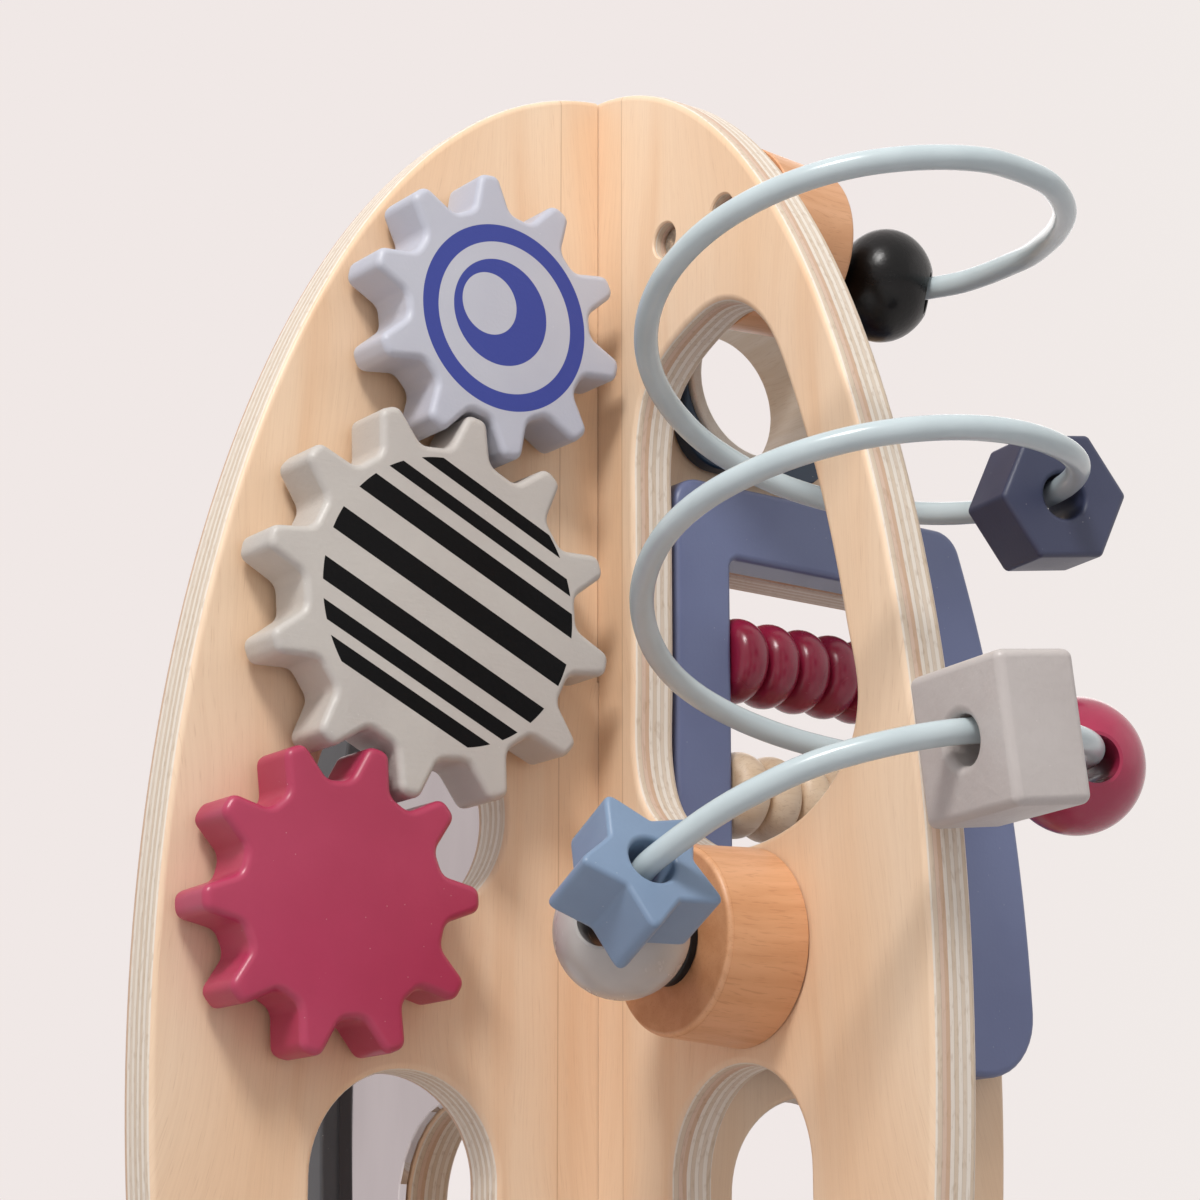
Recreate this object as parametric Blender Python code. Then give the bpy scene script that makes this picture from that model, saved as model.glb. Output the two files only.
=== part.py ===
"""Wooden activity toy: two cross-lapped plywood panels with gears, a bead wire and an abacus.

World frame: metres, +Z up, origin on the floor where the two panels cross. The gear panel lies
in the XZ plane (left wing at -X) and the wire panel in the YZ plane (front wing at -Y).
"""
import math

import bmesh
import bpy
from mathutils import Matrix, Vector

MM = 0.001

# Fits
GAP = 0.3 * MM                    # clearance between touching pieces
RUNNING_GAP = 0.35 * MM           # radial clearance of a piece that turns on its pin or rod
SEGMENTS = 24                     # facets round a turned piece

# Plywood panels
PANEL_T = 15 * MM
PANEL_HEIGHT = 400 * MM
WIDEST_Z = 107 * MM               # height at which the egg outline is widest
HALF_WIDTH = 150 * MM
BASE_CORNER_R = 14 * MM
UP = PANEL_HEIGHT / 400            # heights on the panels are given in this share of their own
LAP_Z = 215.5 * UP                # height where the two lap slots meet
EDGE_ROUND = 2.2 * MM
EGG_STEPS = 22                    # straight steps along one side of the egg outline

# Arched hand holes near the floor
ARCH_R = 29.6 * MM
ARCH_TOP_Z = 98.4 * MM
ARCH_BOTTOM_Z = 18 * MM
ARCH_FROM_AXIS = 71.2 * MM
BACK_ARCH_FROM_AXIS = 62.5 * MM   # the one behind the mirror

# Round hole between the gears
PEEP_R = 31 * MM
PEEP_X = -71 * MM
PEEP_Z = 172 * UP

# Leaf-shaped opening that the wire passes through
LEAF_INNER = 25.4 * MM            # straight side, distance from the panel crossing
LEAF_STRIP = 21 * MM              # width of the strip left outside the opening
LEAF_LOW_Z = 157 * UP
LEAF_TURN_Z = 190 * UP            # height where the round bottom begins
LEAF_SHOULDER_Z = 286 * UP        # height where the inner straight side ends
LEAF_TOP_Z = 316.5 * UP
LEAF_TOP_FROM_AXIS = 61 * MM
LEAF_OUTER_TOP_Z = 296 * UP       # height where the strip's side ends

# Gears
GEAR_T = 18 * MM
GEAR_EDGE_ROUND = 2.2 * MM
TOOTH_TIP_W = 7 * MM
TOOTH_TIP_ROUND = 3.4 * MM
VALLEY_ROUND = 2.5 * MM
SMALL_GEAR_TEETH = 10
SMALL_GEAR_TIP_R = 42.8 * MM
SMALL_GEAR_ROOT_R = 32 * MM
SMALL_TOOTH_ROOT_W = 13 * MM
LARGE_GEAR_TEETH = 12
LARGE_GEAR_TIP_R = 56.8 * MM
LARGE_GEAR_ROOT_R = 45 * MM
LARGE_TOOTH_ROOT_W = 14 * MM
LARGE_GEAR_AT = (-73.8 * MM, 225.6 * UP)
UPPER_GEAR_FROM_LARGE = (17.9 * MM, 88.2 * MM)
LOWER_GEAR_FROM_LARGE = (-29.7 * MM, -85.6 * MM)
LARGE_GEAR_PHASE = 109.5
UPPER_GEAR_PHASE = 96.0
LOWER_GEAR_PHASE = 113.0

# Gear pins and washers
PIN_R = 4 * MM
PIN_HEAD_R = 8 * MM
PIN_HEAD_T = 3.2 * MM
PIN_IN_GEAR = 12 * MM
WASHER_T = 1.4 * MM
WASHER_R = 9 * MM

# Wooden hubs that hold the ends of the bead wire
HUB_R = 27 * MM
HUB_FACE_R = 25.5 * MM
HUB_H = 25.5 * MM
HUB_Z = (129.2 * UP, 343.5 * UP)    # the lower hub and the upper one
HUB_FROM_LOOPS = (42 * MM, 63.5 * MM)
COLLAR_R = 12.4 * MM
COLLAR_T = 2.6 * MM
COLLAR_SPREAD = 1.2 * MM          # radial room in a collar where the wire passes at a slant
SOCKET_DEPTH = 13 * MM
SOCKET_ROOM = 0.6 * MM             # radial room for glue round the wire's end
HUB_SCREW_SPREAD = 27.5 * MM

# Wood screws
SCREW_SHANK_R = 2 * MM
SCREW_HEAD_R = 4.4 * MM
SCREW_HEAD_T = 2.4 * MM
SCREW_SEAT_R = 5.4 * MM
SCREW_SEAT_DEPTH = 6 * MM
SCREW_BITE = 6.5 * MM              # length of shank in the piece that it holds

# Bead wire: a coated steel rod wound round the outer strip of the wire panel
WIRE_R = 3.3 * MM
WIRE_STEP = 9.5 * MM              # length of one straight step of the tube
LOOP_BEYOND_EDGE = 27 * MM        # how far the wider loops reach past the panel's widest point
LOOP_R_LOW = 59 * MM
LOOP_R_HIGH = LOOP_R_LOW - 1.4 * MM
LOOP_FROM_AXIS = HALF_WIDTH + LOOP_BEYOND_EDGE - LOOP_R_LOW
LOOP_WIDE_TURN = 500              # turn in degrees up to which the loop keeps its larger radius
LOOP_NARROW_TURN = 860            # turn in degrees from which it has its smaller radius
LOOP_RISE = [(250, 169.9), (270, 172.6), (300, 174.8), (330, 176.6), (360, 179.6), (390, 184),
             (420, 190.1), (445, 196.5), (475, 206), (505, 219), (535, 231), (565, 239.6),
             (595, 246.2), (625, 249.9), (655, 251.4), (690, 253.3), (725, 254.9), (755, 258.5),
             (785, 264.8), (815, 274.2), (840, 283.6), (865, 292.9), (890, 302.1), (915, 310.3),
             (945, 317.9), (975, 322.5), (990, 324)]
LOWER_LEAD = [(-36.5, 42, 129.2), (-41.6, 41.7, 128.4), (-48.3, 39.8, 127.7), (-55, 36.5, 127.5),
              (-60.6, 31.8, 128), (-65, 26.3, 129.2), (-68, 20.1, 130.9), (-70.1, 13.9, 133),
              (-71.4, 8.1, 135.2), (-72, 3.2, 137.6), (-71.6, -0.9, 140.2), (-67.2, -15.1, 147.9),
              (-63.1, -23.1, 152.4), (-58.6, -29.2, 155.9), (-53.8, -34.7, 159.1),
              (-48.6, -39.7, 161.8), (-42.6, -44.3, 164.1), (-36.2, -48.5, 166.1),
              (-29.4, -52, 167.9)]
UPPER_LEAD = [(19.4, -53.9, 325.3), (31.5, -47.5, 326.2), (44.6, -36.7, 327.6), (57.2, -21, 330),
              (66.3, -5.3, 332.3), (70.7, 5.6, 333.4), (71.8, 14.2, 333.9), (71.7, 23.5, 333.9),
              (70.2, 32.9, 333.8), (66.9, 41.1, 333.9), (62.7, 48.2, 334), (57.5, 53.8, 334.6),
              (50.1, 58.9, 337.8), (41.1, 62.5, 342.2)]

LOWER_HUB_AT = (HUB_FROM_LOOPS[0] - LOOP_FROM_AXIS, HUB_Z[0])
UPPER_HUB_AT = (HUB_FROM_LOOPS[1] - LOOP_FROM_AXIS, HUB_Z[1])

# Beads on the wire, in the order in which they are threaded; places along the wire from its end
SPHERE_R = 17.9 * MM
SPHERE_HOLE_R = 7.2 * MM
SPHERE_AT = 38.3 * MM
STAR_R = 22 * MM
STAR_WAIST_R = 12.6 * MM
STAR_T = 20.4 * MM
STAR_AT = 72.4 * MM
STAR_ROLL = 12
BLOCK_SIZE = 38.6 * MM
BLOCK_T = 23.4 * MM               # along the wire
BLOCK_ROLL = 0
BLOCK_TURN = 264                   # turn round the loop, in degrees
BALL_R = 18.6 * MM
BALL_FROM_BLOCK = 43 * MM          # wire between the block and the ball
HEXAGON_R = 19.8 * MM
HEXAGON_T = 20.6 * MM
HEXAGON_ROLL = 23.4
HEXAGON_TURN = 706
DARK_BEAD_R = 17.1 * MM
DARK_BEAD_T = 27.8 * MM
DARK_BEAD_FROM_END = 41 * MM
BEAD_HOLE_R = 6.4 * MM
HOLE_STEPS = 16                   # facets round a bead's hole
HANG_GAP = 0.5 * MM               # clearance between the wire and the top of the hole that hangs on it

# Abacus board in the back-right wing
BOARD_T = 15 * MM
BOARD_LOW_Z = 107 * UP
BOARD_TOP_Z = 279 * UP
BOARD_FROM_PANEL = 2.6 * MM       # gap between the board's straight side and the wire panel
BOARD_INNER_R = 9 * MM
BOARD_TOP_R = 10 * MM
BOARD_BOTTOM_R = 20 * MM
WINDOW_X = (31 * MM, 108 * MM)
WINDOW_Z = (156 * UP, 256 * UP)
WINDOW_CORNER_R = 3 * MM
ROD_R = 3 * MM
ROD_IN_WOOD = 8 * MM
ROD_TOP_Z = 226.5 * UP
ROD_SPACING = 41 * MM
DISC_R = 13 * MM
DISC_PITCH = 11.9 * MM
DISCS_ON_ROD = 5

# Round window above the abacus
PORT_AT = (49 * MM, 316 * UP)
PORT_BORE_R = 22.5 * MM
PORT_RING_R = 26.6 * MM
PORT_FRONT = 7.5 * MM              # how far the ring stands proud of the panel in front
PORT_BACK = 1 * MM
PORT_PLATE_HALF = 29 * MM
PORT_PLATE_CORNER_R = 14 * MM
PORT_PLATE_T = 6 * MM

# Mirror and its frame on the back-left wing
MIRROR_T = 3 * MM
FRAME_T = 9 * MM
FRAME_LOW_Z = 30 * MM
FRAME_FROM_AXIS = 12 * MM
FRAME_INNER_W = 14 * MM
FRAME_OUTER_W = 20 * MM
FRAME_TOP_W = 23 * MM

# Screws that hold the board and the mirror frame: height, and distance in from the panel's edge
BOARD_OUTER_SCREWS = [(267 * UP, 16.9 * MM), (130 * UP, 23.4 * MM)]
BOARD_INNER_SCREWS = [(266 * UP, 20 * MM), (130 * UP, 21 * MM)]    # from the crossing
MIRROR_OUTER_SCREWS = [(200 * UP, FRAME_OUTER_W / 2), (90 * UP, FRAME_OUTER_W / 2)]
MIRROR_INNER_SCREWS = [(60 * UP, 19 * MM), (245 * UP, 19 * MM)]    # from the crossing

# Colours
PLY = (0.80, 0.58, 0.38, 1)
TURNED_WOOD = (0.72, 0.43, 0.24, 1)
PALE_WOOD = (0.80, 0.64, 0.48, 1)
ICE_BLUE = (0.52, 0.53, 0.62, 1)
STONE = (0.53, 0.49, 0.45, 1)
RASPBERRY = (0.42, 0.035, 0.08, 1)
WINE = (0.21, 0.015, 0.04, 1)
DENIM = (0.21, 0.31, 0.46, 1)
PERIWINKLE = (0.165, 0.20, 0.36, 1)
NAVY = (0.003, 0.02, 0.05, 1)
CHARCOAL = (0.03, 0.03, 0.035, 1)
SLATE = (0.045, 0.05, 0.11, 1)
BLACK = (0.006, 0.006, 0.007, 1)
WIRE_GREY = (0.50, 0.58, 0.58, 1)
STEEL = (0.62, 0.62, 0.62, 1)
SILVER = (0.86, 0.87, 0.88, 1)


def clear_scene():
    for item in list(bpy.data.objects):
        bpy.data.objects.remove(item, do_unlink=True)


def material(name, colour, roughness, metallic=0.0):
    finish = bpy.data.materials.get(name)
    if finish is None:
        finish = bpy.data.materials.new(name)
        finish.use_nodes = True
        shader = finish.node_tree.nodes["Principled BSDF"]
        shader.inputs["Base Color"].default_value = colour
        shader.inputs["Roughness"].default_value = roughness
        shader.inputs["Metallic"].default_value = metallic
        finish.diffuse_color = colour
    return finish


def add_object(name, mesh, finish, placed=Matrix()):
    """One named object at a place in the world, with flat faces and smooth round ones."""
    item = bpy.data.objects.new(name, mesh)
    bpy.context.scene.collection.objects.link(item)
    item.matrix_world = placed
    if finish is not None:
        mesh.materials.append(finish)
    mesh.shade_smooth()
    mesh.set_sharp_from_angle(angle=math.radians(32))
    return item


def mesh_from(name, bm):
    bmesh.ops.recalc_face_normals(bm, faces=bm.faces)
    mesh = bpy.data.meshes.new(name)
    bm.to_mesh(mesh)
    bm.free()
    return mesh


# Placing: a plate or turned piece is drawn flat, then stood on its panel

def in_gear_plane(x, y, z, turn=0.0):
    """Local x and y become world x and z, and local z points out of the gear wing's front."""
    return Matrix.Translation((x, y, z)) @ Matrix.Rotation(math.pi / 2, 4, "X") @ Matrix.Rotation(turn, 4, "Z")


def in_wire_plane(x, y, z):
    """Local x and y become world y and z, and local z points along world x."""
    stand = Matrix.Rotation(math.pi / 2, 4, "Z") @ Matrix.Rotation(math.pi / 2, 4, "X")
    return Matrix.Translation((x, y, z)) @ stand


def along(point, direction, x_hint=(0, 0, 1)):
    """A frame at point whose local z runs along direction and whose x is near x_hint."""
    z = Vector(direction).normalized()
    x = Vector(x_hint)
    x = (x - z * x.dot(z)).normalized()
    y = z.cross(x)
    turned = Matrix((x, y, z)).transposed().to_4x4()
    return Matrix.Translation(point) @ turned


# Outlines, drawn anticlockwise in their own plane

def arc(centre, radius, start, end, steps):
    points = []
    for k in range(steps + 1):
        a = math.radians(start + (end - start) * k / steps)
        points.append((centre[0] + radius * math.cos(a), centre[1] + radius * math.sin(a)))
    return points


def circle(centre, radius, steps=SEGMENTS):
    return arc(centre, radius, 0, 360, steps)[:-1]


def rounded_box(x_range, y_range, radius, steps=4):
    (x0, x1), (y0, y1) = x_range, y_range
    points = arc((x1 - radius, y0 + radius), radius, 270, 360, steps)
    points += arc((x1 - radius, y1 - radius), radius, 0, 90, steps)
    points += arc((x0 + radius, y1 - radius), radius, 90, 180, steps)
    points += arc((x0 + radius, y0 + radius), radius, 180, 270, steps)
    return points


def egg_point(angle, inset=0.0):
    """A point on the right-hand side of the egg outline, moved in along its normal."""
    rise = PANEL_HEIGHT - WIDEST_Z
    normal = Vector((math.cos(angle) / HALF_WIDTH, math.sin(angle) / rise)).normalized()
    x = HALF_WIDTH * math.cos(angle) - inset * normal.x
    z = WIDEST_Z + rise * math.sin(angle) - inset * normal.y
    return x, z, math.degrees(math.atan2(normal.y, normal.x))


def egg_angle(height, inset=0.0):
    """The angle at which the outline, moved in by inset, passes a height."""
    low, high = -math.pi / 2, math.pi / 2
    for _ in range(50):
        middle = (low + high) / 2
        if egg_point(middle, inset)[1] < height:
            low = middle
        else:
            high = middle
    return (low + high) / 2


def egg_side(low_z, low_r, top_z, top_r, inset=0.0, steps=EGG_STEPS):
    """The egg outline from a rounded bottom corner up to a rounded top corner, or to its peak."""
    start = egg_angle(low_z + low_r, inset + low_r)
    points = []
    if low_r > 0:
        x, z, lean = egg_point(start, inset + low_r)
        points += arc((x, z), low_r, -90, lean, 4)[:-1]
    end = math.pi / 2 if top_z is None else egg_angle(top_z - top_r, inset + top_r)
    for k in range(steps + 1):
        points.append(egg_point(start + (end - start) * k / steps, inset)[:2])
    if top_z is not None and top_r > 0:
        x, z, lean = egg_point(end, inset + top_r)
        points += arc((x, z), top_r, lean, 90, 4)[1:]
    return points


def mirrored(points):
    return [(-x, z) for x, z in reversed(points)]


def arch(centre_x):
    high = (centre_x, ARCH_TOP_Z - ARCH_R)
    low = (centre_x, ARCH_BOTTOM_Z + ARCH_R)
    return arc(high, ARCH_R, 0, 180, 12) + arc(low, ARCH_R, 180, 360, 12)


def smooth_through(points, steps):
    """A closed curve through the points, with steps short lines between each two."""
    smooth = []
    count = len(points)
    for i in range(count):
        a, b, c, d = (Vector(points[(i + k) % count]) for k in (-1, 0, 1, 2))
        for k in range(steps):
            t = k / steps
            rise = (c - a) * t + (2 * a - 5 * b + 4 * c - d) * t ** 2 + (3 * b - a - 3 * c + d) * t ** 3
            smooth.append(tuple(b + rise / 2))
    return smooth


def leaf_opening():
    """The opening in the front wing, with y measured away from the crossing as negative."""
    outer_low = egg_point(egg_angle(LEAF_TURN_Z, LEAF_STRIP), LEAF_STRIP)[0]
    middle = (LEAF_INNER + outer_low) / 2
    half = (outer_low - LEAF_INNER) / 2
    points = []
    for k in range(7):
        a = math.radians(180 + 30 * k)
        points.append((middle + half * math.cos(a), LEAF_TURN_Z + (LEAF_TURN_Z - LEAF_LOW_Z) * math.sin(a)))
    for k in range(1, 6):
        height = LEAF_TURN_Z + (LEAF_OUTER_TOP_Z - LEAF_TURN_Z) * k / 5
        points.append(egg_point(egg_angle(height, LEAF_STRIP), LEAF_STRIP)[:2])
    outer_top = points[-1][0]
    reach = outer_top - LEAF_TOP_FROM_AXIS
    points.append((LEAF_TOP_FROM_AXIS + 0.72 * reach, LEAF_TOP_Z - 0.42 * (LEAF_TOP_Z - LEAF_OUTER_TOP_Z)))
    points.append((LEAF_TOP_FROM_AXIS + 0.36 * reach, LEAF_TOP_Z - 0.07 * (LEAF_TOP_Z - LEAF_OUTER_TOP_Z)))
    points.append((LEAF_TOP_FROM_AXIS, LEAF_TOP_Z))
    reach = LEAF_TOP_FROM_AXIS - LEAF_INNER
    drop = LEAF_TOP_Z - LEAF_SHOULDER_Z
    points.append((LEAF_INNER + 0.64 * reach, LEAF_TOP_Z - 0.13 * drop))
    points.append((LEAF_INNER + 0.33 * reach, LEAF_TOP_Z - 0.33 * drop))
    points.append((LEAF_INNER + 0.10 * reach, LEAF_TOP_Z - 0.62 * drop))
    points.append((LEAF_INNER, LEAF_SHOULDER_Z - 4 * MM))
    for k in range(1, 4):
        points.append((LEAF_INNER, LEAF_SHOULDER_Z + (LEAF_TURN_Z - LEAF_SHOULDER_Z) * k / 4))
    return smooth_through(mirrored(points), 2)


def tooth_outline(teeth, tip_r, root_r, root_w):
    """Straight-sided teeth with rounded tips and valleys, the first one centred on local +x."""
    corners = []
    for i in range(teeth):
        middle = 2 * math.pi * i / teeth
        for radius, width, side, rounding in ((root_r, root_w, -1, VALLEY_ROUND),
                                              (tip_r, TOOTH_TIP_W, -1, TOOTH_TIP_ROUND),
                                              (tip_r, TOOTH_TIP_W, 1, TOOTH_TIP_ROUND),
                                              (root_r, root_w, 1, VALLEY_ROUND)):
            a = middle + side * math.asin(width / 2 / radius)
            corners.append((Vector((radius * math.cos(a), radius * math.sin(a))), rounding))
    return round_corners(corners, 2)


def round_corners(corners, steps):
    """A closed outline whose corners are each cut by a short curve."""
    points = []
    count = len(corners)
    for i, (corner, radius) in enumerate(corners):
        before = corners[i - 1][0] - corner
        after = corners[(i + 1) % count][0] - corner
        half_angle = before.angle(after) / 2
        cut = min(radius / math.tan(half_angle), 0.48 * before.length, 0.48 * after.length)
        start = corner + before.normalized() * cut
        end = corner + after.normalized() * cut
        own_steps = 1 if radius <= VALLEY_ROUND else steps
        for k in range(own_steps + 1):
            t = k / own_steps
            points.append(tuple(start * (1 - t) ** 2 + corner * 2 * t * (1 - t) + end * t ** 2))
    return points


def moved_in(loop, distance):
    """The closed outline moved to its left, into the material, with mitred corners."""
    moved = []
    count = len(loop)
    for i in range(count):
        before = (Vector(loop[i]) - Vector(loop[i - 1])).normalized()
        after = (Vector(loop[(i + 1) % count]) - Vector(loop[i])).normalized()
        left_before = Vector((-before.y, before.x))
        left_after = Vector((-after.y, after.x))
        mitre = (left_before + left_after).normalized()
        reach = distance / max(mitre.dot(left_after), 0.4)
        moved.append(tuple(Vector(loop[i]) + mitre * reach))
    return moved


def plate(name, outer, holes, low, high, rounding, steps=1):
    """A flat plate with through holes; every edge is rounded. Holes are drawn anticlockwise too."""
    bends = [math.pi / 2 * k / steps for k in range(steps + 1)]
    lower = [(low + rounding * (1 - math.cos(a)), rounding * (1 - math.sin(a))) for a in bends]
    upper = [(high + low - z, inset) for z, inset in reversed(lower)]
    bm = bmesh.new()
    first_edges = []
    last_edges = []
    for loop in [outer] + [list(reversed(hole)) for hole in holes]:
        rings = []
        for z, inset in lower + upper:
            rings.append([bm.verts.new((x, y, z)) for x, y in moved_in(loop, inset)])
        count = len(loop)
        for ring, following in zip(rings, rings[1:]):
            for i in range(count):
                j = (i + 1) % count
                bm.faces.new((ring[i], ring[j], following[j], following[i]))
        first_edges += [bm.edges.get((rings[0][i], rings[0][(i + 1) % count])) for i in range(count)]
        last_edges += [bm.edges.get((rings[-1][i], rings[-1][(i + 1) % count])) for i in range(count)]
    for edges in (first_edges, last_edges):
        bmesh.ops.triangle_fill(bm, use_beauty=True, use_dissolve=False, edges=edges)
    return mesh_from(name, bm)


def turned(name, profile, closed=False, segments=SEGMENTS):
    """A piece turned about local z from (radius, height) points; radius 0 closes it on the axis."""
    bm = bmesh.new()
    add_turned(bm, profile, closed, segments)
    return mesh_from(name, bm)


def add_turned(bm, profile, closed=False, segments=SEGMENTS, centre=(0, 0)):
    rings = []
    for radius, height in profile:
        if radius == 0:
            rings.append([bm.verts.new((centre[0], centre[1], height))])
        else:
            rings.append([bm.verts.new((centre[0] + radius * math.cos(2 * math.pi * k / segments),
                                        centre[1] + radius * math.sin(2 * math.pi * k / segments),
                                        height)) for k in range(segments)])
    pairs = list(zip(rings, rings[1:]))
    if closed:
        pairs.append((rings[-1], rings[0]))
    for ring, following in pairs:
        for k in range(segments):
            j = (k + 1) % segments
            corners = []
            for vert in (ring[k % len(ring)], ring[j % len(ring)],
                         following[j % len(following)], following[k % len(following)]):
                if vert not in corners:
                    corners.append(vert)
            bm.faces.new(corners)


def cut(item, cutter_mesh, placed):
    """A Boolean cut by a hidden cutter placed in the world."""
    cutter = bpy.data.objects.new(item.name + "_cutter", cutter_mesh)
    bpy.context.scene.collection.objects.link(cutter)
    cutter.matrix_world = placed
    cutter.hide_render = True
    cutter.display_type = "WIRE"
    modifier = item.modifiers.new("cut", "BOOLEAN")
    modifier.operation = "DIFFERENCE"
    modifier.solver = "EXACT"
    modifier.object = cutter
    return cutter


def screw_length():
    return SCREW_HEAD_T + PANEL_T - SCREW_SEAT_DEPTH + 2 * GAP + SCREW_BITE


def screw_profile():
    """Head top at local height 0, shank towards -z."""
    length = screw_length()
    return [(0, 0), (SCREW_HEAD_R, 0), (SCREW_HEAD_R, -SCREW_HEAD_T),
            (SCREW_SHANK_R, -SCREW_HEAD_T), (SCREW_SHANK_R, -length), (0, -length)]


def seat_profile():
    """Counterbore and through hole in the panel for one screw."""
    hole_r = SCREW_SHANK_R + GAP
    floor = -SCREW_HEAD_T - GAP
    mouth = floor + SCREW_SEAT_DEPTH + MM
    end = floor - (PANEL_T - SCREW_SEAT_DEPTH) - MM
    return [(0, mouth), (SCREW_SEAT_R, mouth), (SCREW_SEAT_R, floor), (hole_r, floor),
            (hole_r, end), (0, end)]


def pilot_profile():
    """Blind hole for one screw in the piece that it holds."""
    hole_r = SCREW_SHANK_R + GAP
    start = -SCREW_HEAD_T - GAP - (PANEL_T - SCREW_SEAT_DEPTH) + 0.7 * MM
    end = -screw_length() - GAP
    return [(0, start), (hole_r, start), (hole_r, end), (0, end)]


def add_block(bm, x_range, y_range, z_range):
    corners = [bm.verts.new((x, y, z)) for z in z_range for y in y_range for x in x_range]
    for face in ((0, 2, 3, 1), (4, 5, 7, 6), (0, 1, 5, 4), (2, 6, 7, 3), (0, 4, 6, 2), (1, 3, 7, 5)):
        bm.faces.new([corners[i] for i in face])


def add_rod(bm, centre, radius, low, high, segments=SEGMENTS):
    add_turned(bm, [(0, low), (radius, low), (radius, high), (0, high)], False, segments, centre)


def ring_profile(inner_r, outer_r, low, high, bevel):
    """A washer-like ring with eased outer corners, as a closed profile."""
    return [(inner_r, low), (outer_r - bevel, low), (outer_r, low + bevel),
            (outer_r, high - bevel), (outer_r - bevel, high), (inner_r, high)]


def ball_profile(radius, hole_r, half_t=None, steps=7):
    """A bored ball or barrel bead as a closed profile."""
    start = math.acos(hole_r / radius)
    stretch = 1 if half_t is None else half_t / (radius * math.sin(start))
    points = []
    for k in range(steps + 1):
        a = -start + 2 * start * k / steps
        points.append((radius * math.cos(a), stretch * radius * math.sin(a)))
    return points


# The bead wire's path

def rise_at(turn):
    """Height of the loops at a turn, in mm, on a smooth curve through the listed heights."""
    table = LOOP_RISE
    i = max(k for k in range(len(table) - 1) if table[k][0] <= turn)
    (a0, z0), (a1, z1) = table[i], table[i + 1]
    before = table[max(i - 1, 0)]
    after = table[min(i + 2, len(table) - 1)]
    slope0 = (z1 - before[1]) / (a1 - before[0])
    slope1 = (after[1] - z0) / (after[0] - a0)
    t = (turn - a0) / (a1 - a0)
    span = a1 - a0
    return ((2 * t ** 3 - 3 * t ** 2 + 1) * z0 + (t ** 3 - 2 * t ** 2 + t) * span * slope0
            + (3 * t ** 2 - 2 * t ** 3) * z1 + (t ** 3 - t ** 2) * span * slope1)


def loop_point(turn):
    ease = min(max((turn - LOOP_WIDE_TURN) / (LOOP_NARROW_TURN - LOOP_WIDE_TURN), 0), 1)
    radius = LOOP_R_LOW + (LOOP_R_HIGH - LOOP_R_LOW) * ease
    a = math.radians(turn)
    return Vector((radius * math.cos(a), -LOOP_FROM_AXIS + radius * math.sin(a), rise_at(turn) * UP))


def lead(points):
    """The points of a lead, placed by the loops' middle and the panels' height."""
    return [Vector((x * MM, y * MM - LOOP_FROM_AXIS, z * UP)) for x, y, z in points]


def wire_path():
    """Closely spaced points along the wire, from inside the lower hub to inside the upper one."""
    y, z = LOWER_HUB_AT
    face = -PANEL_T / 2 - GAP - HUB_H
    low = [Vector((face + SOCKET_DEPTH, y, z)), Vector((face, y, z))]
    low += lead(LOWER_LEAD)
    first = LOOP_RISE[0][0]
    last = LOOP_RISE[-1][0]
    loops = [loop_point(first + (last - first) * k / 74) for k in range(75)]
    y, z = UPPER_HUB_AT
    face = -face
    high = lead(UPPER_LEAD)
    high += [Vector((face, y, z)), Vector((face - SOCKET_DEPTH, y, z))]
    points = low + loops + high
    path = []
    for i in range(len(points) - 1):
        b, c = points[i], points[i + 1]
        a = points[i - 1] if i > 0 else b * 2 - c
        d = points[i + 2] if i + 2 < len(points) else c * 2 - b
        length = (c - b).length
        pull_b = (c - a) * (length / ((c - b).length + (b - a).length))
        pull_c = (d - b) * (length / ((d - c).length + (c - b).length))
        for k in range(6):
            t = k / 6
            path.append(b * (2 * t ** 3 - 3 * t ** 2 + 1) + pull_b * (t ** 3 - 2 * t ** 2 + t)
                        + c * (3 * t ** 2 - 2 * t ** 3) + pull_c * (t ** 3 - t ** 2))
    path.append(points[-1])
    return path


def lengths_along(path):
    total = 0.0
    lengths = [0.0]
    for a, b in zip(path, path[1:]):
        total += (b - a).length
        lengths.append(total)
    return lengths


def wire_at(path, lengths, distance):
    for i in range(len(path) - 1):
        if lengths[i + 1] >= distance or i == len(path) - 2:
            t = (distance - lengths[i]) / (lengths[i + 1] - lengths[i])
            return path[i].lerp(path[i + 1], t)


def length_at_turn(path, lengths, turn):
    """Distance along the wire of the point of the loops at a turn."""
    target = loop_point(turn)
    nearest = min(range(len(path)), key=lambda i: (path[i] - target).length)
    return lengths[nearest]


def bead_frame(path, lengths, distance, thickness, hint, roll, hangs):
    """Where a bored bead sits: its hole lies midway between the wire's arc and its chord.

    A bead that hangs on a level stretch is lower, so that the top of its hole rests on the wire.
    """
    start = wire_at(path, lengths, distance - thickness / 2)
    end = wire_at(path, lengths, distance + thickness / 2)
    middle = wire_at(path, lengths, distance)
    centre = (start + end) / 4 + middle / 2
    if hangs:
        room = BEAD_HOLE_R * math.cos(math.pi / HOLE_STEPS) - WIRE_R - HANG_GAP
        bend = (middle - centre).length
        centre.z -= math.sqrt(max(room ** 2 - bend ** 2, 0))
    return along(centre, end - start, hint) @ Matrix.Rotation(math.radians(roll), 4, "Z")


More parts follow.
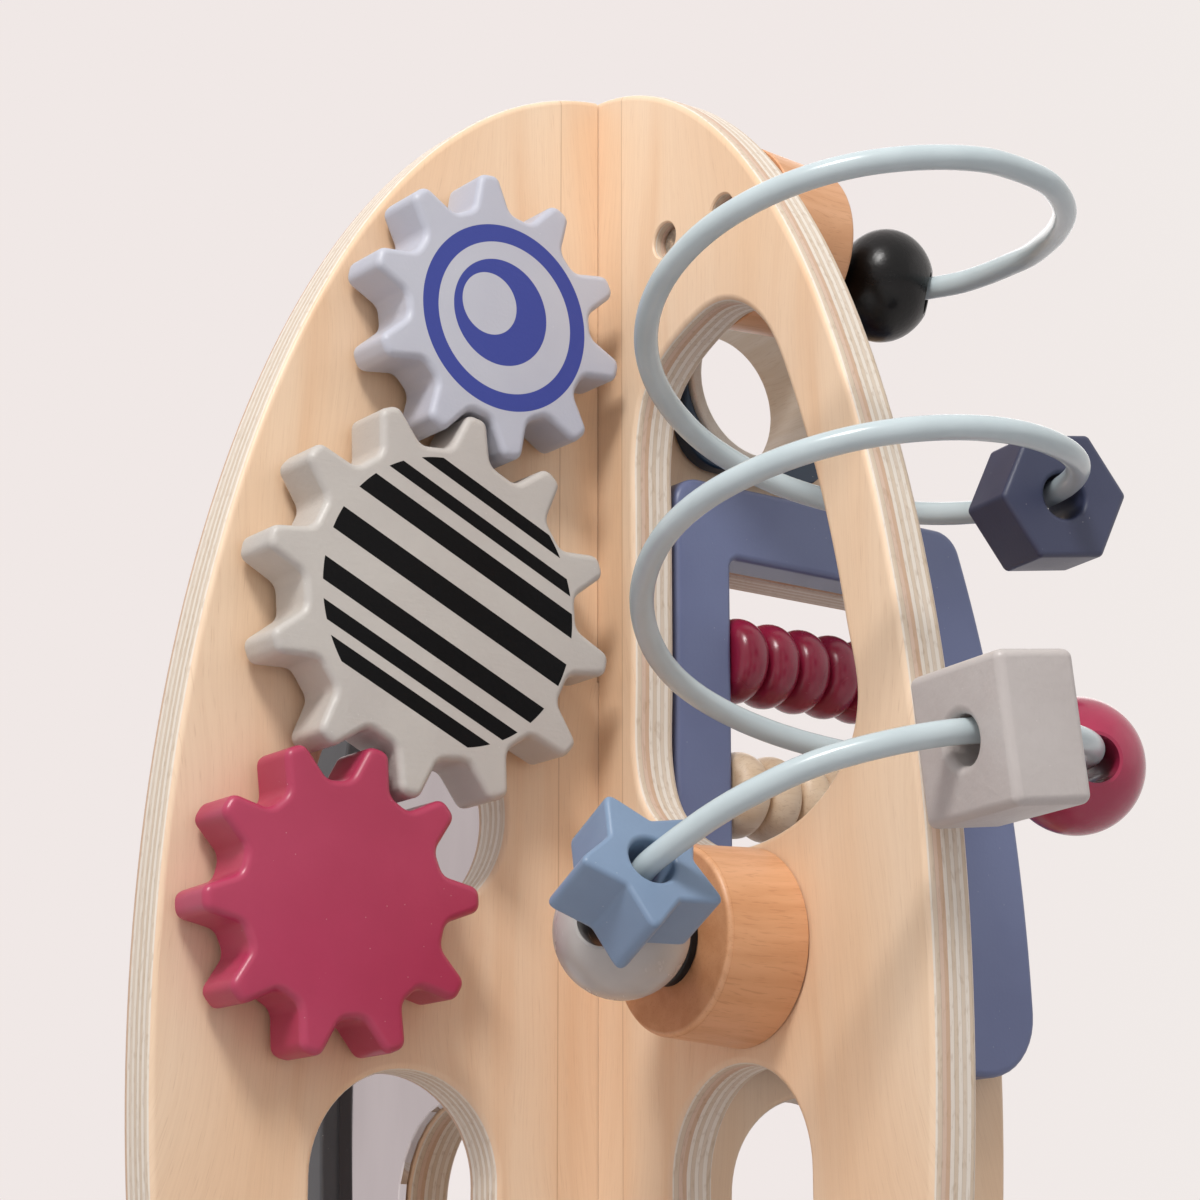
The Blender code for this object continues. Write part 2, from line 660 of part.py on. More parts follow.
def tube(name, path, lengths, radius, step, sides):
    """The wire as a tube of straight steps with flat ends."""
    count = round(lengths[-1] / step)
    centres = [wire_at(path, lengths, lengths[-1] * k / count) for k in range(count + 1)]
    bm = bmesh.new()
    rings = []
    side = Vector((0, 0, 1))
    for k, centre in enumerate(centres):
        ahead = centres[min(k + 1, count)] - centres[max(k - 1, 0)]
        ahead.normalize()
        side = (side - ahead * side.dot(ahead)).normalized()
        up = ahead.cross(side)
        ring = []
        for i in range(sides):
            a = 2 * math.pi * i / sides
            ring.append(bm.verts.new(centre + (side * math.cos(a) + up * math.sin(a)) * radius))
        rings.append(ring)
    for ring, following in zip(rings, rings[1:]):
        for i in range(sides):
            j = (i + 1) % sides
            bm.faces.new((ring[i], ring[j], following[j], following[i]))
    bm.faces.new(list(reversed(rings[0])))
    bm.faces.new(rings[-1])
    return mesh_from(name, bm)


# Fasteners: each screw is a place for its head and the direction in which it drives

def turned_copies(name, screws, profile):
    """One mesh with the same turned shape at every screw."""
    bm = bmesh.new()
    for place, direction in screws:
        count = len(bm.verts)
        add_turned(bm, profile, False, 10)
        bm.verts.ensure_lookup_table()
        frame = along(place, -Vector(direction), (0, 0.1, 1))
        bmesh.ops.transform(bm, matrix=frame, verts=bm.verts[count:])
    return mesh_from(name, bm)


def face_screws(places, axis, driven):
    """Screws sunk in a panel face; driven is -1 or 1 along the panel's thickness."""
    head = driven * (SCREW_SEAT_DEPTH - SCREW_HEAD_T - GAP - PANEL_T / 2)
    screws = []
    for first, z in places:
        if axis == "x":
            screws.append(((head, first, z), (driven, 0, 0)))
        else:
            screws.append(((first, head, z), (0, driven, 0)))
    return screws


def near_edge(height, inset):
    """A place at a height, inset from the egg outline."""
    return egg_point(egg_angle(height, inset), inset)[:2]


def add_screws(name, screws, finish):
    """Each screw is a piece of its own."""
    for number, (place, direction) in enumerate(screws, 1):
        own_name = "%s_%d" % (name, number)
        add_object(own_name, turned(own_name, screw_profile(), segments=10), finish,
                   along(place, -Vector(direction), (0, 0.1, 1)))


clear_scene()

half_t = PANEL_T / 2
ply = material("plywood", PLY, 0.42)
turned_wood = material("turned_wood", TURNED_WOOD, 0.4)
pale_wood = material("pale_wood", PALE_WOOD, 0.4)
steel = material("steel", STEEL, 0.3, 1.0)
black = material("black_lacquer", BLACK, 0.2)

# Where the screws sit
half_spread = HUB_SCREW_SPREAD / 2
upper_hub_screws = face_screws([(UPPER_HUB_AT[0] - half_spread, UPPER_HUB_AT[1]),
                                (UPPER_HUB_AT[0] + half_spread, UPPER_HUB_AT[1])], "x", 1)
lower_hub_screws = face_screws([(LOWER_HUB_AT[0] - half_spread, LOWER_HUB_AT[1]),
                                (LOWER_HUB_AT[0] + half_spread, LOWER_HUB_AT[1])], "x", -1)
board_screws = face_screws([(x, z) for z, x in BOARD_INNER_SCREWS]
                           + [near_edge(z, inset) for z, inset in BOARD_OUTER_SCREWS], "y", -1)
mirror_screws = face_screws([(y, z) for z, y in MIRROR_INNER_SCREWS]
                            + [near_edge(z, inset) for z, inset in MIRROR_OUTER_SCREWS], "x", -1)

# Gear panel: cut from one sheet of plywood, slotted from the top to lap over the wire panel
side = egg_side(0, BASE_CORNER_R, None, 0)
panel_outline = side + mirrored(side)[1:]
window = rounded_box(WINDOW_X, WINDOW_Z, WINDOW_CORNER_R, 3)
gear_holes = [circle((PEEP_X, PEEP_Z), PEEP_R, 32), arch(-ARCH_FROM_AXIS), arch(ARCH_FROM_AXIS),
              window, circle(PORT_AT, PORT_RING_R + GAP, 32)]
gear_panel = add_object("gear_panel", plate("gear_panel", panel_outline, gear_holes, -half_t, half_t,
                                            EDGE_ROUND), ply, in_gear_plane(0, 0, 0))
slot_half = half_t + GAP
upper_gear_at = (LARGE_GEAR_AT[0] + UPPER_GEAR_FROM_LARGE[0],
                 LARGE_GEAR_AT[1] + UPPER_GEAR_FROM_LARGE[1])
lower_gear_at = (LARGE_GEAR_AT[0] + LOWER_GEAR_FROM_LARGE[0],
                 LARGE_GEAR_AT[1] + LOWER_GEAR_FROM_LARGE[1])
gear_places = [upper_gear_at, LARGE_GEAR_AT, lower_gear_at]
cutter = bmesh.new()
add_block(cutter, (-slot_half, slot_half), (LAP_Z - GAP / 2, PANEL_HEIGHT + 10 * MM),
          (-2 * PANEL_T, 2 * PANEL_T))
for place in gear_places:
    add_rod(cutter, place, PIN_R + GAP, -2 * PANEL_T, 2 * PANEL_T, 16)
cut(gear_panel, mesh_from("gear_panel_slot", cutter), in_gear_plane(0, 0, 0))
cut(gear_panel, turned_copies("board_screw_seats", board_screws, seat_profile()), Matrix())

# Wire panel: the same outline, slotted from the floor up
wire_holes = [leaf_opening(), arch(-ARCH_FROM_AXIS), arch(BACK_ARCH_FROM_AXIS)]
wire_panel = add_object("wire_panel", plate("wire_panel", panel_outline, wire_holes, -half_t, half_t,
                                            EDGE_ROUND), ply, in_wire_plane(0, 0, 0))
cutter = bmesh.new()
add_block(cutter, (-slot_half, slot_half), (-10 * MM, LAP_Z + GAP / 2), (-2 * PANEL_T, 2 * PANEL_T))
cut(wire_panel, mesh_from("wire_panel_slot", cutter), in_wire_plane(0, 0, 0))
seats = upper_hub_screws + lower_hub_screws + mirror_screws
cut(wire_panel, turned_copies("wire_panel_seats", seats, seat_profile()), Matrix())

# Gears: painted wood, each turning on a pin through the gear panel
gear_back = -(half_t + 2 * GAP + WASHER_T)
small_teeth = tooth_outline(SMALL_GEAR_TEETH, SMALL_GEAR_TIP_R, SMALL_GEAR_ROOT_R, SMALL_TOOTH_ROOT_W)
large_teeth = tooth_outline(LARGE_GEAR_TEETH, LARGE_GEAR_TIP_R, LARGE_GEAR_ROOT_R, LARGE_TOOTH_ROOT_W)
gears = [("upper_gear", small_teeth, upper_gear_at, UPPER_GEAR_PHASE, "ice_blue_paint", ICE_BLUE),
         ("middle_gear", large_teeth, LARGE_GEAR_AT, LARGE_GEAR_PHASE, "stone_paint", STONE),
         ("lower_gear", small_teeth, lower_gear_at, LOWER_GEAR_PHASE, "raspberry_paint", RASPBERRY)]
for name, teeth, (x, z), phase, paint, colour in gears:
    placed = in_gear_plane(x, gear_back, z, math.radians(phase))
    gear = add_object(name, plate(name, teeth, [], 0, GEAR_T, GEAR_EDGE_ROUND),
                      material(paint, colour, 0.42), placed)
    bore = bmesh.new()
    add_rod(bore, (0, 0), PIN_R + RUNNING_GAP, -MM, PIN_IN_GEAR + GAP, 20)
    cut(gear, mesh_from(name + "_bore", bore), placed)
    head = -half_t - GAP
    pin = turned(name + "_pin", [(0, head - PIN_HEAD_T), (PIN_HEAD_R * 0.7, head - PIN_HEAD_T),
                                 (PIN_HEAD_R, head - PIN_HEAD_T * 0.45), (PIN_HEAD_R, head),
                                 (PIN_R, head), (PIN_R, -gear_back + PIN_IN_GEAR),
                                 (0, -gear_back + PIN_IN_GEAR)], segments=16)
    add_object(name + "_pin", pin, steel, in_gear_plane(x, 0, z))
    washer = turned(name + "_washer", [(PIN_R + GAP, 0), (WASHER_R, 0), (WASHER_R, WASHER_T),
                                       (PIN_R + GAP, WASHER_T)], True, 16)
    add_object(name + "_washer", washer, steel, in_gear_plane(x, head, z))

# Hubs: turned wood, screwed on from the other side of the panel, drilled for the wire's ends
socket_r = WIRE_R + SOCKET_ROOM
for name, (y, z), facing, screws in (("lower_hub", LOWER_HUB_AT, -1, lower_hub_screws),
                                     ("upper_hub", UPPER_HUB_AT, 1, upper_hub_screws)):
    placed = along((facing * (half_t + GAP), y, z), (facing, 0, 0))
    hub = turned(name, [(0, 0), (HUB_R, 0), (HUB_FACE_R, HUB_H - 1.5 * MM),
                        (HUB_FACE_R - 1.5 * MM, HUB_H), (0, HUB_H)], segments=32)
    hub = add_object(name, hub, turned_wood, placed)
    bore = bmesh.new()
    add_rod(bore, (0, 0), socket_r, HUB_H - SOCKET_DEPTH - GAP, HUB_H + MM, 16)
    cut(hub, mesh_from(name + "_socket", bore), placed)
    cut(hub, turned_copies(name + "_pilots", screws, pilot_profile()), Matrix())
    add_screws(name + "_screw", screws, steel)
    low = HUB_H + GAP
    collar = turned(name + "_collar", ring_profile(socket_r + COLLAR_SPREAD, COLLAR_R, low,
                                                   low + COLLAR_T, 0.8 * MM), True)
    add_object(name + "_collar", collar, black, placed)

# Bead wire: bent steel rod with a pale coating
path = wire_path()
lengths = lengths_along(path)
add_object("bead_wire", tube("bead_wire", path, lengths, WIRE_R, WIRE_STEP, 8),
           material("coated_wire", WIRE_GREY, 0.25))

# Wire beads
toward_viewer = (0.712, -0.311, -0.629)
up = (0, 0, 1)


def add_bead(name, mesh, distance, thickness, hint, roll, paint, colour, roughness, hangs=False):
    placed = bead_frame(path, lengths, distance, thickness, hint, roll, hangs)
    return add_object(name, mesh, material(paint, colour, roughness), placed)


add_bead("sphere_bead", turned("sphere_bead", ball_profile(SPHERE_R, SPHERE_HOLE_R), True, 20),
         SPHERE_AT, 2 * SPHERE_R, up, 0, "stone_lacquer", STONE, 0.3)
star = []
for i in range(5):
    for radius, turn, rounding in ((STAR_R, 72 * i, 2.6 * MM), (STAR_WAIST_R, 72 * i + 36, 2 * MM)):
        a = math.radians(turn)
        star.append((Vector((radius * math.cos(a), radius * math.sin(a))), rounding))
hole = circle((0, 0), BEAD_HOLE_R, HOLE_STEPS)
add_bead("star_bead", plate("star_bead", round_corners(star, 2), [hole], -STAR_T / 2, STAR_T / 2,
                            1.4 * MM), STAR_AT, STAR_T, toward_viewer, STAR_ROLL,
         "denim_paint", DENIM, 0.4)
half = BLOCK_SIZE / 2
add_bead("block_bead", plate("block_bead", rounded_box((-half, half), (-half, half), 2.5 * MM, 2),
                            [hole], -BLOCK_T / 2, BLOCK_T / 2, 2 * MM),
         length_at_turn(path, lengths, BLOCK_TURN), BLOCK_T, up, BLOCK_ROLL,
         "stone_bead_paint", STONE, 0.42, True)
block_at = length_at_turn(path, lengths, BLOCK_TURN)
ball_at = block_at + BLOCK_T / 2 + BALL_FROM_BLOCK + BALL_R
add_bead("ball_bead", turned("ball_bead", ball_profile(BALL_R, BEAD_HOLE_R), True, 20),
         ball_at, 2 * BALL_R, up, 0,
         "raspberry_lacquer", RASPBERRY, 0.22, True)
corners = []
for i in range(6):
    a = math.radians(60 * i)
    corners.append((Vector((HEXAGON_R * math.cos(a), HEXAGON_R * math.sin(a))), 2.5 * MM))
add_bead("hexagon_bead", plate("hexagon_bead", round_corners(corners, 2), [hole], -HEXAGON_T / 2,
                               HEXAGON_T / 2, 1.8 * MM),
         length_at_turn(path, lengths, HEXAGON_TURN), HEXAGON_T, up, HEXAGON_ROLL,
         "slate_paint", SLATE, 0.4, True)
add_bead("dark_bead", turned("dark_bead", ball_profile(DARK_BEAD_R, BEAD_HOLE_R, DARK_BEAD_T / 2),
                             True, 20), lengths[-1] - DARK_BEAD_FROM_END, DARK_BEAD_T, up, 0,
         "black_lacquer", BLACK, 0.2)

# Abacus board: painted wood on the front of the back-right wing, with two steel rods let into it
board_left = half_t + BOARD_FROM_PANEL
board_outline = arc((board_left + BOARD_INNER_R, BOARD_LOW_Z + BOARD_INNER_R), BOARD_INNER_R, 180, 270, 4)
board_outline += egg_side(BOARD_LOW_Z, BOARD_BOTTOM_R, BOARD_TOP_Z, BOARD_TOP_R, steps=10)
board_outline += arc((board_left + BOARD_INNER_R, BOARD_TOP_Z - BOARD_INNER_R), BOARD_INNER_R, 90, 180, 4)
board_low = half_t + GAP
board = add_object("abacus_board", plate("abacus_board", board_outline, [window], board_low,
                                         board_low + BOARD_T, EDGE_ROUND),
                   material("periwinkle_paint", PERIWINKLE, 0.42), in_gear_plane(0, 0, 0))
rod_y = -(board_low + BOARD_T / 2)
rod_low = WINDOW_X[0] - ROD_IN_WOOD
rod_high = WINDOW_X[1] + ROD_IN_WOOD
rod_heights = (ROD_TOP_Z, ROD_TOP_Z - ROD_SPACING)
sockets = bmesh.new()
for z in rod_heights:
    add_rod(sockets, (0, rod_heights[0] - z), ROD_R + GAP, rod_low - GAP, rod_high + GAP, 16)
socket_frame = along((0, rod_y, rod_heights[0]), (1, 0, 0), (0, -1, 0))
cut(board, mesh_from("rod_sockets", sockets), socket_frame)
cut(board, turned_copies("board_pilots", board_screws, pilot_profile()), Matrix())
add_screws("board_screw", board_screws, steel)

# Abacus rods and their rows of disc beads
disc_half = DISC_PITCH / 2 - GAP / 2
disc = [(ROD_R + RUNNING_GAP, -disc_half), (0.62 * DISC_R, -disc_half), (0.92 * DISC_R, -0.6 * disc_half),
        (DISC_R, 0), (0.92 * DISC_R, 0.6 * disc_half), (0.62 * DISC_R, disc_half),
        (ROD_R + RUNNING_GAP, disc_half)]
for name, z, paint, colour in (("upper_row", rod_heights[0], "wine_lacquer", WINE),
                               ("lower_row", rod_heights[1], "pale_wood", PALE_WOOD)):
    rod = turned(name + "_rod", [(0, 0), (ROD_R, 0), (ROD_R, rod_high - rod_low),
                                 (0, rod_high - rod_low)], segments=12)
    add_object(name + "_rod", rod, steel, along((rod_low, rod_y, z), (1, 0, 0)))
    for i in range(DISCS_ON_ROD):
        x = WINDOW_X[0] + GAP + DISC_PITCH * (i + 0.5)
        bead = turned("%s_disc_%d" % (name, i + 1), disc, True, 14)
        add_object("%s_disc_%d" % (name, i + 1), bead, material(paint, colour, 0.25),
                   along((x, rod_y, z), (1, 0, 0)))

# Round window: a turned wooden ring through the wing, with a painted plate round it
port_x, port_z = PORT_AT
square = (port_x - PORT_PLATE_HALF, port_x + PORT_PLATE_HALF), (port_z - PORT_PLATE_HALF, port_z + PORT_PLATE_HALF)
port_plate = plate("port_plate", rounded_box(square[0], square[1], PORT_PLATE_CORNER_R, 6),
                   [circle(PORT_AT, PORT_RING_R + GAP, 32)], board_low, board_low + PORT_PLATE_T, 1.2 * MM)
add_object("port_plate", port_plate, material("navy_paint", NAVY, 0.3), in_gear_plane(0, 0, 0))
ring = turned("port_ring", [(PORT_BORE_R, -half_t - PORT_BACK), (PORT_RING_R - MM, -half_t - PORT_BACK),
                            (PORT_RING_R, -half_t - PORT_BACK + MM), (PORT_RING_R, half_t + PORT_FRONT - MM),
                            (PORT_RING_R - MM, half_t + PORT_FRONT), (PORT_BORE_R, half_t + PORT_FRONT)],
              True, 32)
add_object("port_ring", ring, pale_wood, in_gear_plane(port_x, 0, port_z))

# Mirror in its frame on the back-left wing: the frame is open at the floor end
inner = FRAME_FROM_AXIS + FRAME_INNER_W
frame_top = BOARD_TOP_Z
window_top = frame_top - FRAME_TOP_W
outer_side = egg_side(FRAME_LOW_Z, 0, frame_top, BOARD_TOP_R, steps=14)
inner_side = egg_side(FRAME_LOW_Z, 0, window_top, 0, FRAME_OUTER_W, 12)
frame_outline = [(FRAME_FROM_AXIS, FRAME_LOW_Z), (inner, FRAME_LOW_Z), (inner, window_top)]
frame_outline += list(reversed(inner_side)) + outer_side
frame_outline += arc((FRAME_FROM_AXIS + BOARD_INNER_R, frame_top - BOARD_INNER_R), BOARD_INNER_R, 90, 180, 4)
frame_low = -(half_t + GAP + FRAME_T)
frame = add_object("mirror_frame", plate("mirror_frame", frame_outline, [], frame_low, -half_t - GAP,
                                         1.2 * MM), material("charcoal_paint", CHARCOAL, 0.35),
                   in_wire_plane(0, 0, 0))
cut(frame, turned_copies("frame_pilots", mirror_screws, pilot_profile()), Matrix())
add_screws("mirror_frame_screw", mirror_screws, steel)
notch = ARCH_R + MM
notch_z = ARCH_TOP_Z - ARCH_R
mirror_outline = [(inner + GAP, FRAME_LOW_Z), (BACK_ARCH_FROM_AXIS - notch, FRAME_LOW_Z)]
mirror_outline += arc((BACK_ARCH_FROM_AXIS, notch_z), notch, 180, 0, 14)
mirror_outline += [(BACK_ARCH_FROM_AXIS + notch, FRAME_LOW_Z)]
mirror_outline += egg_side(FRAME_LOW_Z, 0, window_top - GAP, 0, FRAME_OUTER_W + GAP, 12)
mirror_outline += [(inner + GAP, window_top - GAP)]
add_object("mirror", plate("mirror", mirror_outline, [], -half_t - GAP - MIRROR_T, -half_t - GAP, 0.4 * MM),
           material("mirror_sheet", SILVER, 0.03, 1.0), in_wire_plane(0, 0, 0))
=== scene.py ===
import math

import bmesh
import bpy
from mathutils import Matrix, Vector


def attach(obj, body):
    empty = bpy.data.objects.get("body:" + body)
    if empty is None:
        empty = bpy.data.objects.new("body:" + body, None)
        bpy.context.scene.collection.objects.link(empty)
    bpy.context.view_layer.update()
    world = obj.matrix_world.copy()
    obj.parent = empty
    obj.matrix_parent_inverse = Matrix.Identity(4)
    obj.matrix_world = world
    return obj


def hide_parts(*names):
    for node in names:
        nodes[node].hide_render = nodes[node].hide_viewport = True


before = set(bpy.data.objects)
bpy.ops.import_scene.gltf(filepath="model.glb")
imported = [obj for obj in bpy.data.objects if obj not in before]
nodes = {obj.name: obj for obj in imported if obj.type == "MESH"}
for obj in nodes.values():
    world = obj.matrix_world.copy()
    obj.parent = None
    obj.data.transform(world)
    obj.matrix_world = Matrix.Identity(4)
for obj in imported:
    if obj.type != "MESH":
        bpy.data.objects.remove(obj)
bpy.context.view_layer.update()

MM = 0.001

# Studio: the toy stands on a sheet of pale paper in a white room. A key lamp hangs close by, above
# and to the left, a weak one fills from the right and one stands behind. The room itself is
# brighter towards the upper left.
PAPER_BOUNCE = "AEAAAC"
FLOOR_HALF = 3.0
BRIGHT_SIDE = (-0.66, -0.28, 0.70)
ROOM_WHITE = (0.97, 0.985, 1.0, 1.0)
WARM_WHITE = (1.0, 0.98, 0.97)
TOY_MIDDLE = Vector((-0.02, -0.03, 0.22))


def srgb(code):
    """The colour that a six-figure code names, as the shader wants it."""
    parts = [int(code[i:i + 2], 16) / 255 for i in (0, 2, 4)]
    return tuple(p / 12.92 if p <= 0.04045 else ((p + 0.055) / 1.055) ** 2.4 for p in parts) + (1.0,)


def wire_up(node, inputs):
    """Gives each input its value, or links it to another node's output."""
    for key, value in inputs.items():
        if isinstance(value, bpy.types.NodeSocket):
            node.id_data.links.new(value, node.inputs[key])
        else:
            node.inputs[key].default_value = value


def put(tree, kind, inputs=None, **settings):
    made = tree.nodes.new("ShaderNode" + kind)
    for name, value in settings.items():
        setattr(made, name, value)
    wire_up(made, inputs or {})
    return made


def sum_up(operation, first, second=0.0, clamp=False):
    """One step of arithmetic between outputs and numbers."""
    output = first if isinstance(first, bpy.types.NodeSocket) else second
    return put(output.id_data, "Math", {0: first, 1: second}, operation=operation,
               use_clamp=clamp).outputs[0]


def plus(first, second):
    return sum_up("ADD", first, second)


def times(first, second):
    return sum_up("MULTIPLY", first, second)


def spread(value, low, high, to_low=0.0, to_high=1.0):
    """value, taken smoothly from low..high to to_low..to_high and held there."""
    return put(value.id_data, "MapRange", {
        "Value": value, "From Min": low, "From Max": high, "To Min": to_low, "To Max": to_high},
        interpolation_type="SMOOTHSTEP").outputs[0]


def mixed(share, first, second):
    """Two colours mixed by share; each is an output, a colour or its six-figure code."""
    first, second = (srgb(c) if isinstance(c, str) else c for c in (first, second))
    return put(share.id_data, "Mix", {0: share, 6: first, 7: second}, data_type="RGBA").outputs[2]


def mottled(pattern, first, second):
    return mixed(spread(pattern, 0.3, 0.7), first, second)


def tinted(base, pattern, low, high, most, tint):
    """base under a tint that grows from none, where pattern is low, to most where it is high."""
    return mixed(spread(pattern, low, high, 0.0, most), base, tint)


def noise(place, size, detail=2.0, roughness=0.5):
    """Soft noise; size is its scale, or one scale for each axis."""
    tree = place.id_data
    if isinstance(size, tuple):
        place = put(tree, "VectorMath", {0: place, 1: size}, operation="MULTIPLY").outputs[0]
        size = 1.0
    return put(tree, "TexNoise", {"Vector": place, "Scale": size, "Detail": detail,
                                  "Roughness": roughness}).outputs[0]


def new_object(name, data):
    made = bpy.data.objects.new(name, data)
    bpy.context.scene.collection.objects.link(made)
    return made


PAPER = srgb("F0E8E6")
PAPER_SHADE = srgb("F1ECE9")
bpy.context.scene.view_settings.view_transform = "Standard"
air = bpy.data.worlds.new("white_room")
bpy.context.scene.world = air
air.use_nodes = True
tree = air.node_tree
tree.nodes.clear()
rays = put(tree, "LightPath").outputs
seen = sum_up("MAXIMUM", rays["Is Camera Ray"],
              sum_up("MAXIMUM", rays["Is Glossy Ray"], rays["Is Transmission Ray"]))
direction = put(tree, "TexCoord").outputs["Generated"]
towards = put(tree, "SeparateXYZ", {0: direction}).outputs
side_on = plus(times(towards[0], 0.8), times(towards[1], -0.58))
wall_white = mixed(spread(side_on, 0.02, 0.3), PAPER, PAPER_SHADE)
backdrop = put(tree, "Background", {0: wall_white, 1: 1.0})
near_bright = put(tree, "VectorMath", {0: direction, 1: BRIGHT_SIDE}, operation="DOT_PRODUCT")
brightness = spread(near_bright.outputs["Value"], -0.7, 0.8, 0.13, 0.76)
room = put(tree, "Background", {0: ROOM_WHITE, 1: brightness})
shown = put(tree, "MixShader", {0: seen, 1: room.outputs[0], 2: backdrop.outputs[0]})
put(tree, "OutputWorld", {0: shown.outputs[0]})

sheet_mesh = bpy.data.meshes.new("paper_floor")
corners = [(x * FLOOR_HALF, y * FLOOR_HALF, -0.2 * MM) for x, y in ((-1, -1), (1, -1), (1, 1), (-1, 1))]
sheet_mesh.from_pydata(corners, [], [(0, 1, 2, 3)])
paper = bpy.data.materials.new("studio_paper")
paper.use_nodes = True
tree = paper.node_tree
tree.nodes.clear()
place = put(tree, "TexCoord").outputs["Object"]
distance = put(tree, "VectorMath", {0: place}, operation="LENGTH").outputs["Value"]
fibres = noise(place, 900.0, 3.0)
rays = put(tree, "LightPath").outputs
# light that bounces up from the sheet is dimmed, as if the toy stood on a darker table
bounced = mixed(rays["Is Diffuse Ray"], mottled(fibres, PAPER, PAPER_SHADE), PAPER_BOUNCE)
lit = put(tree, "BsdfPrincipled", {"Base Color": bounced, "Roughness": 0.85})
glow = put(tree, "Emission", {0: PAPER, 1: 1.0})
far = times(spread(distance, 0.45, 1.5),
            sum_up("MAXIMUM", rays["Is Camera Ray"], rays["Is Glossy Ray"]))
both = put(tree, "MixShader", {0: far, 1: lit.outputs[0], 2: glow.outputs[0]})
from_below = times(put(tree, "NewGeometry").outputs["Backfacing"], rays["Is Camera Ray"])
seen_through = put(tree, "MixShader", {0: from_below, 1: both.outputs[0],
                                       2: put(tree, "BsdfTransparent").outputs[0]})
put(tree, "OutputMaterial", {0: seen_through.outputs[0]})
sheet_mesh.materials.append(paper)
floor = new_object("paper_floor", sheet_mesh)

for name, spot, size, power, colour in (
        ("key_lamp", (-0.79, -0.69, 1.24), 0.38, 13.6, (1.0, 0.985, 0.965)),
        ("fill_lamp", (1.5, -1.2, 0.9), 1.6, 1.8, WARM_WHITE),
        ("back_lamp", (1.2, 1.6, 1.2), 1.6, 8.0, WARM_WHITE)):
    light = bpy.data.lights.new(name, "AREA")
    light.shape = "DISK"
    light.size = size
    light.energy = power
    light.color = colour
    lamp = new_object(name, light)
    lamp.location = spot
    lamp.rotation_euler = (Vector(spot) - TOY_MIDDLE).to_track_quat("Z", "Y").to_euler()
    lamp.visible_camera = False

# Camera: low in front of the toy and to its left, looking up, as the photograph was taken.
CAMERA_AT = (-518.73 * MM, -718.51 * MM, 12.0 * MM)
CAMERA_TILT = 14.62
CAMERA_TURN = -35.827
camera_data = bpy.data.cameras.new("camera")
camera_data.sensor_width = 36.0
camera_data.lens = 91.77
camera_data.shift_x = -0.00325
camera_data.clip_start = 0.01
camera = new_object("camera", camera_data)
camera.location = CAMERA_AT
camera.rotation_euler = (math.radians(90 + CAMERA_TILT), 0, math.radians(CAMERA_TURN))
bpy.context.scene.camera = camera

# Panels: two sheets of birch-faced plywood, 15 mm thick, sawn to the same egg outline, rounded
# over along every edge and lacquered. Each is slotted to half its height and they slide together.
PANEL_T = 15 * MM
PANEL_HEIGHT = 400 * MM
WIDEST_Z = 107 * MM
HALF_WIDTH = 150 * MM
BASE_CORNER_R = 14 * MM
LAP_Z = 215.5 * MM
EDGE_ROUND = 2.2 * MM
GAP = 0.3 * MM
PEEP_AT = (-71 * MM, 172 * MM)
PEEP_R = 31 * MM
ARCH_R = 29.6 * MM
ARCH_Z = (18 * MM, 98.4 * MM)
ARCH_FROM_AXIS = 71.2 * MM
MIRROR_ARCH_FROM_AXIS = 62.5 * MM
LEAF_INNER = 25.4 * MM
LEAF_STRIP = 21 * MM
LEAF_LOW_Z = 157 * MM
LEAF_TURN_Z = 190 * MM
LEAF_SHOULDER_Z = 286 * MM
LEAF_TOP_Z = 316.5 * MM
LEAF_TOP_FROM_AXIS = 61 * MM
LEAF_OUTER_TOP_Z = 296 * MM
WINDOW_X = (31 * MM, 108 * MM)
WINDOW_Z = (156 * MM, 256 * MM)
WINDOW_CORNER_R = 3 * MM
PORT_AT = (49 * MM, 316 * MM)
PORT_RING_R = 26.6 * MM
half_t = PANEL_T / 2


def in_gear_plane(x=0, y=0, z=0):
    """Local x and y become world x and z, and local z points out of the gear wing's front."""
    return Matrix.Translation((x, y, z)) @ Matrix.Rotation(math.pi / 2, 4, "X")


def in_wire_plane(x=0, y=0, z=0):
    """Local x and y become world y and z, and local z points along world x."""
    stand = Matrix.Rotation(math.pi / 2, 4, "Z") @ Matrix.Rotation(math.pi / 2, 4, "X")
    return Matrix.Translation((x, y, z)) @ stand


def along(point, direction, x_hint=(0, 0, 1)):
    """A frame at point whose local z runs along direction and whose x is near x_hint."""
    z = Vector(direction).normalized()
    x = Vector(x_hint)
    x = (x - z * x.dot(z)).normalized()
    y = z.cross(x)
    return Matrix.Translation(point) @ Matrix((x, y, z)).transposed().to_4x4()


def arc(centre, radius, start, end, steps):
    """Points on an arc between two angles in degrees."""
    turns = [math.radians(start + (end - start) * k / steps) for k in range(steps + 1)]
    return [(centre[0] + radius * math.cos(a), centre[1] + radius * math.sin(a)) for a in turns]


def circle(centre, radius, steps):
    return arc(centre, radius, 0, 360, steps)[:-1]


def rounded_box(x_range, y_range, radius, steps=8):
    (x0, x1), (y0, y1) = x_range, y_range
    points = arc((x1 - radius, y0 + radius), radius, 270, 360, steps)
    points += arc((x1 - radius, y1 - radius), radius, 0, 90, steps)
    points += arc((x0 + radius, y1 - radius), radius, 90, 180, steps)
    return points + arc((x0 + radius, y0 + radius), radius, 180, 270, steps)


def egg_point(angle, inset=0.0):
    """A point on the right-hand side of the egg outline, moved in along its normal."""
    rise = PANEL_HEIGHT - WIDEST_Z
    normal = Vector((math.cos(angle) / HALF_WIDTH, math.sin(angle) / rise)).normalized()
    return (HALF_WIDTH * math.cos(angle) - inset * normal.x,
            WIDEST_Z + rise * math.sin(angle) - inset * normal.y,
            math.degrees(math.atan2(normal.y, normal.x)))


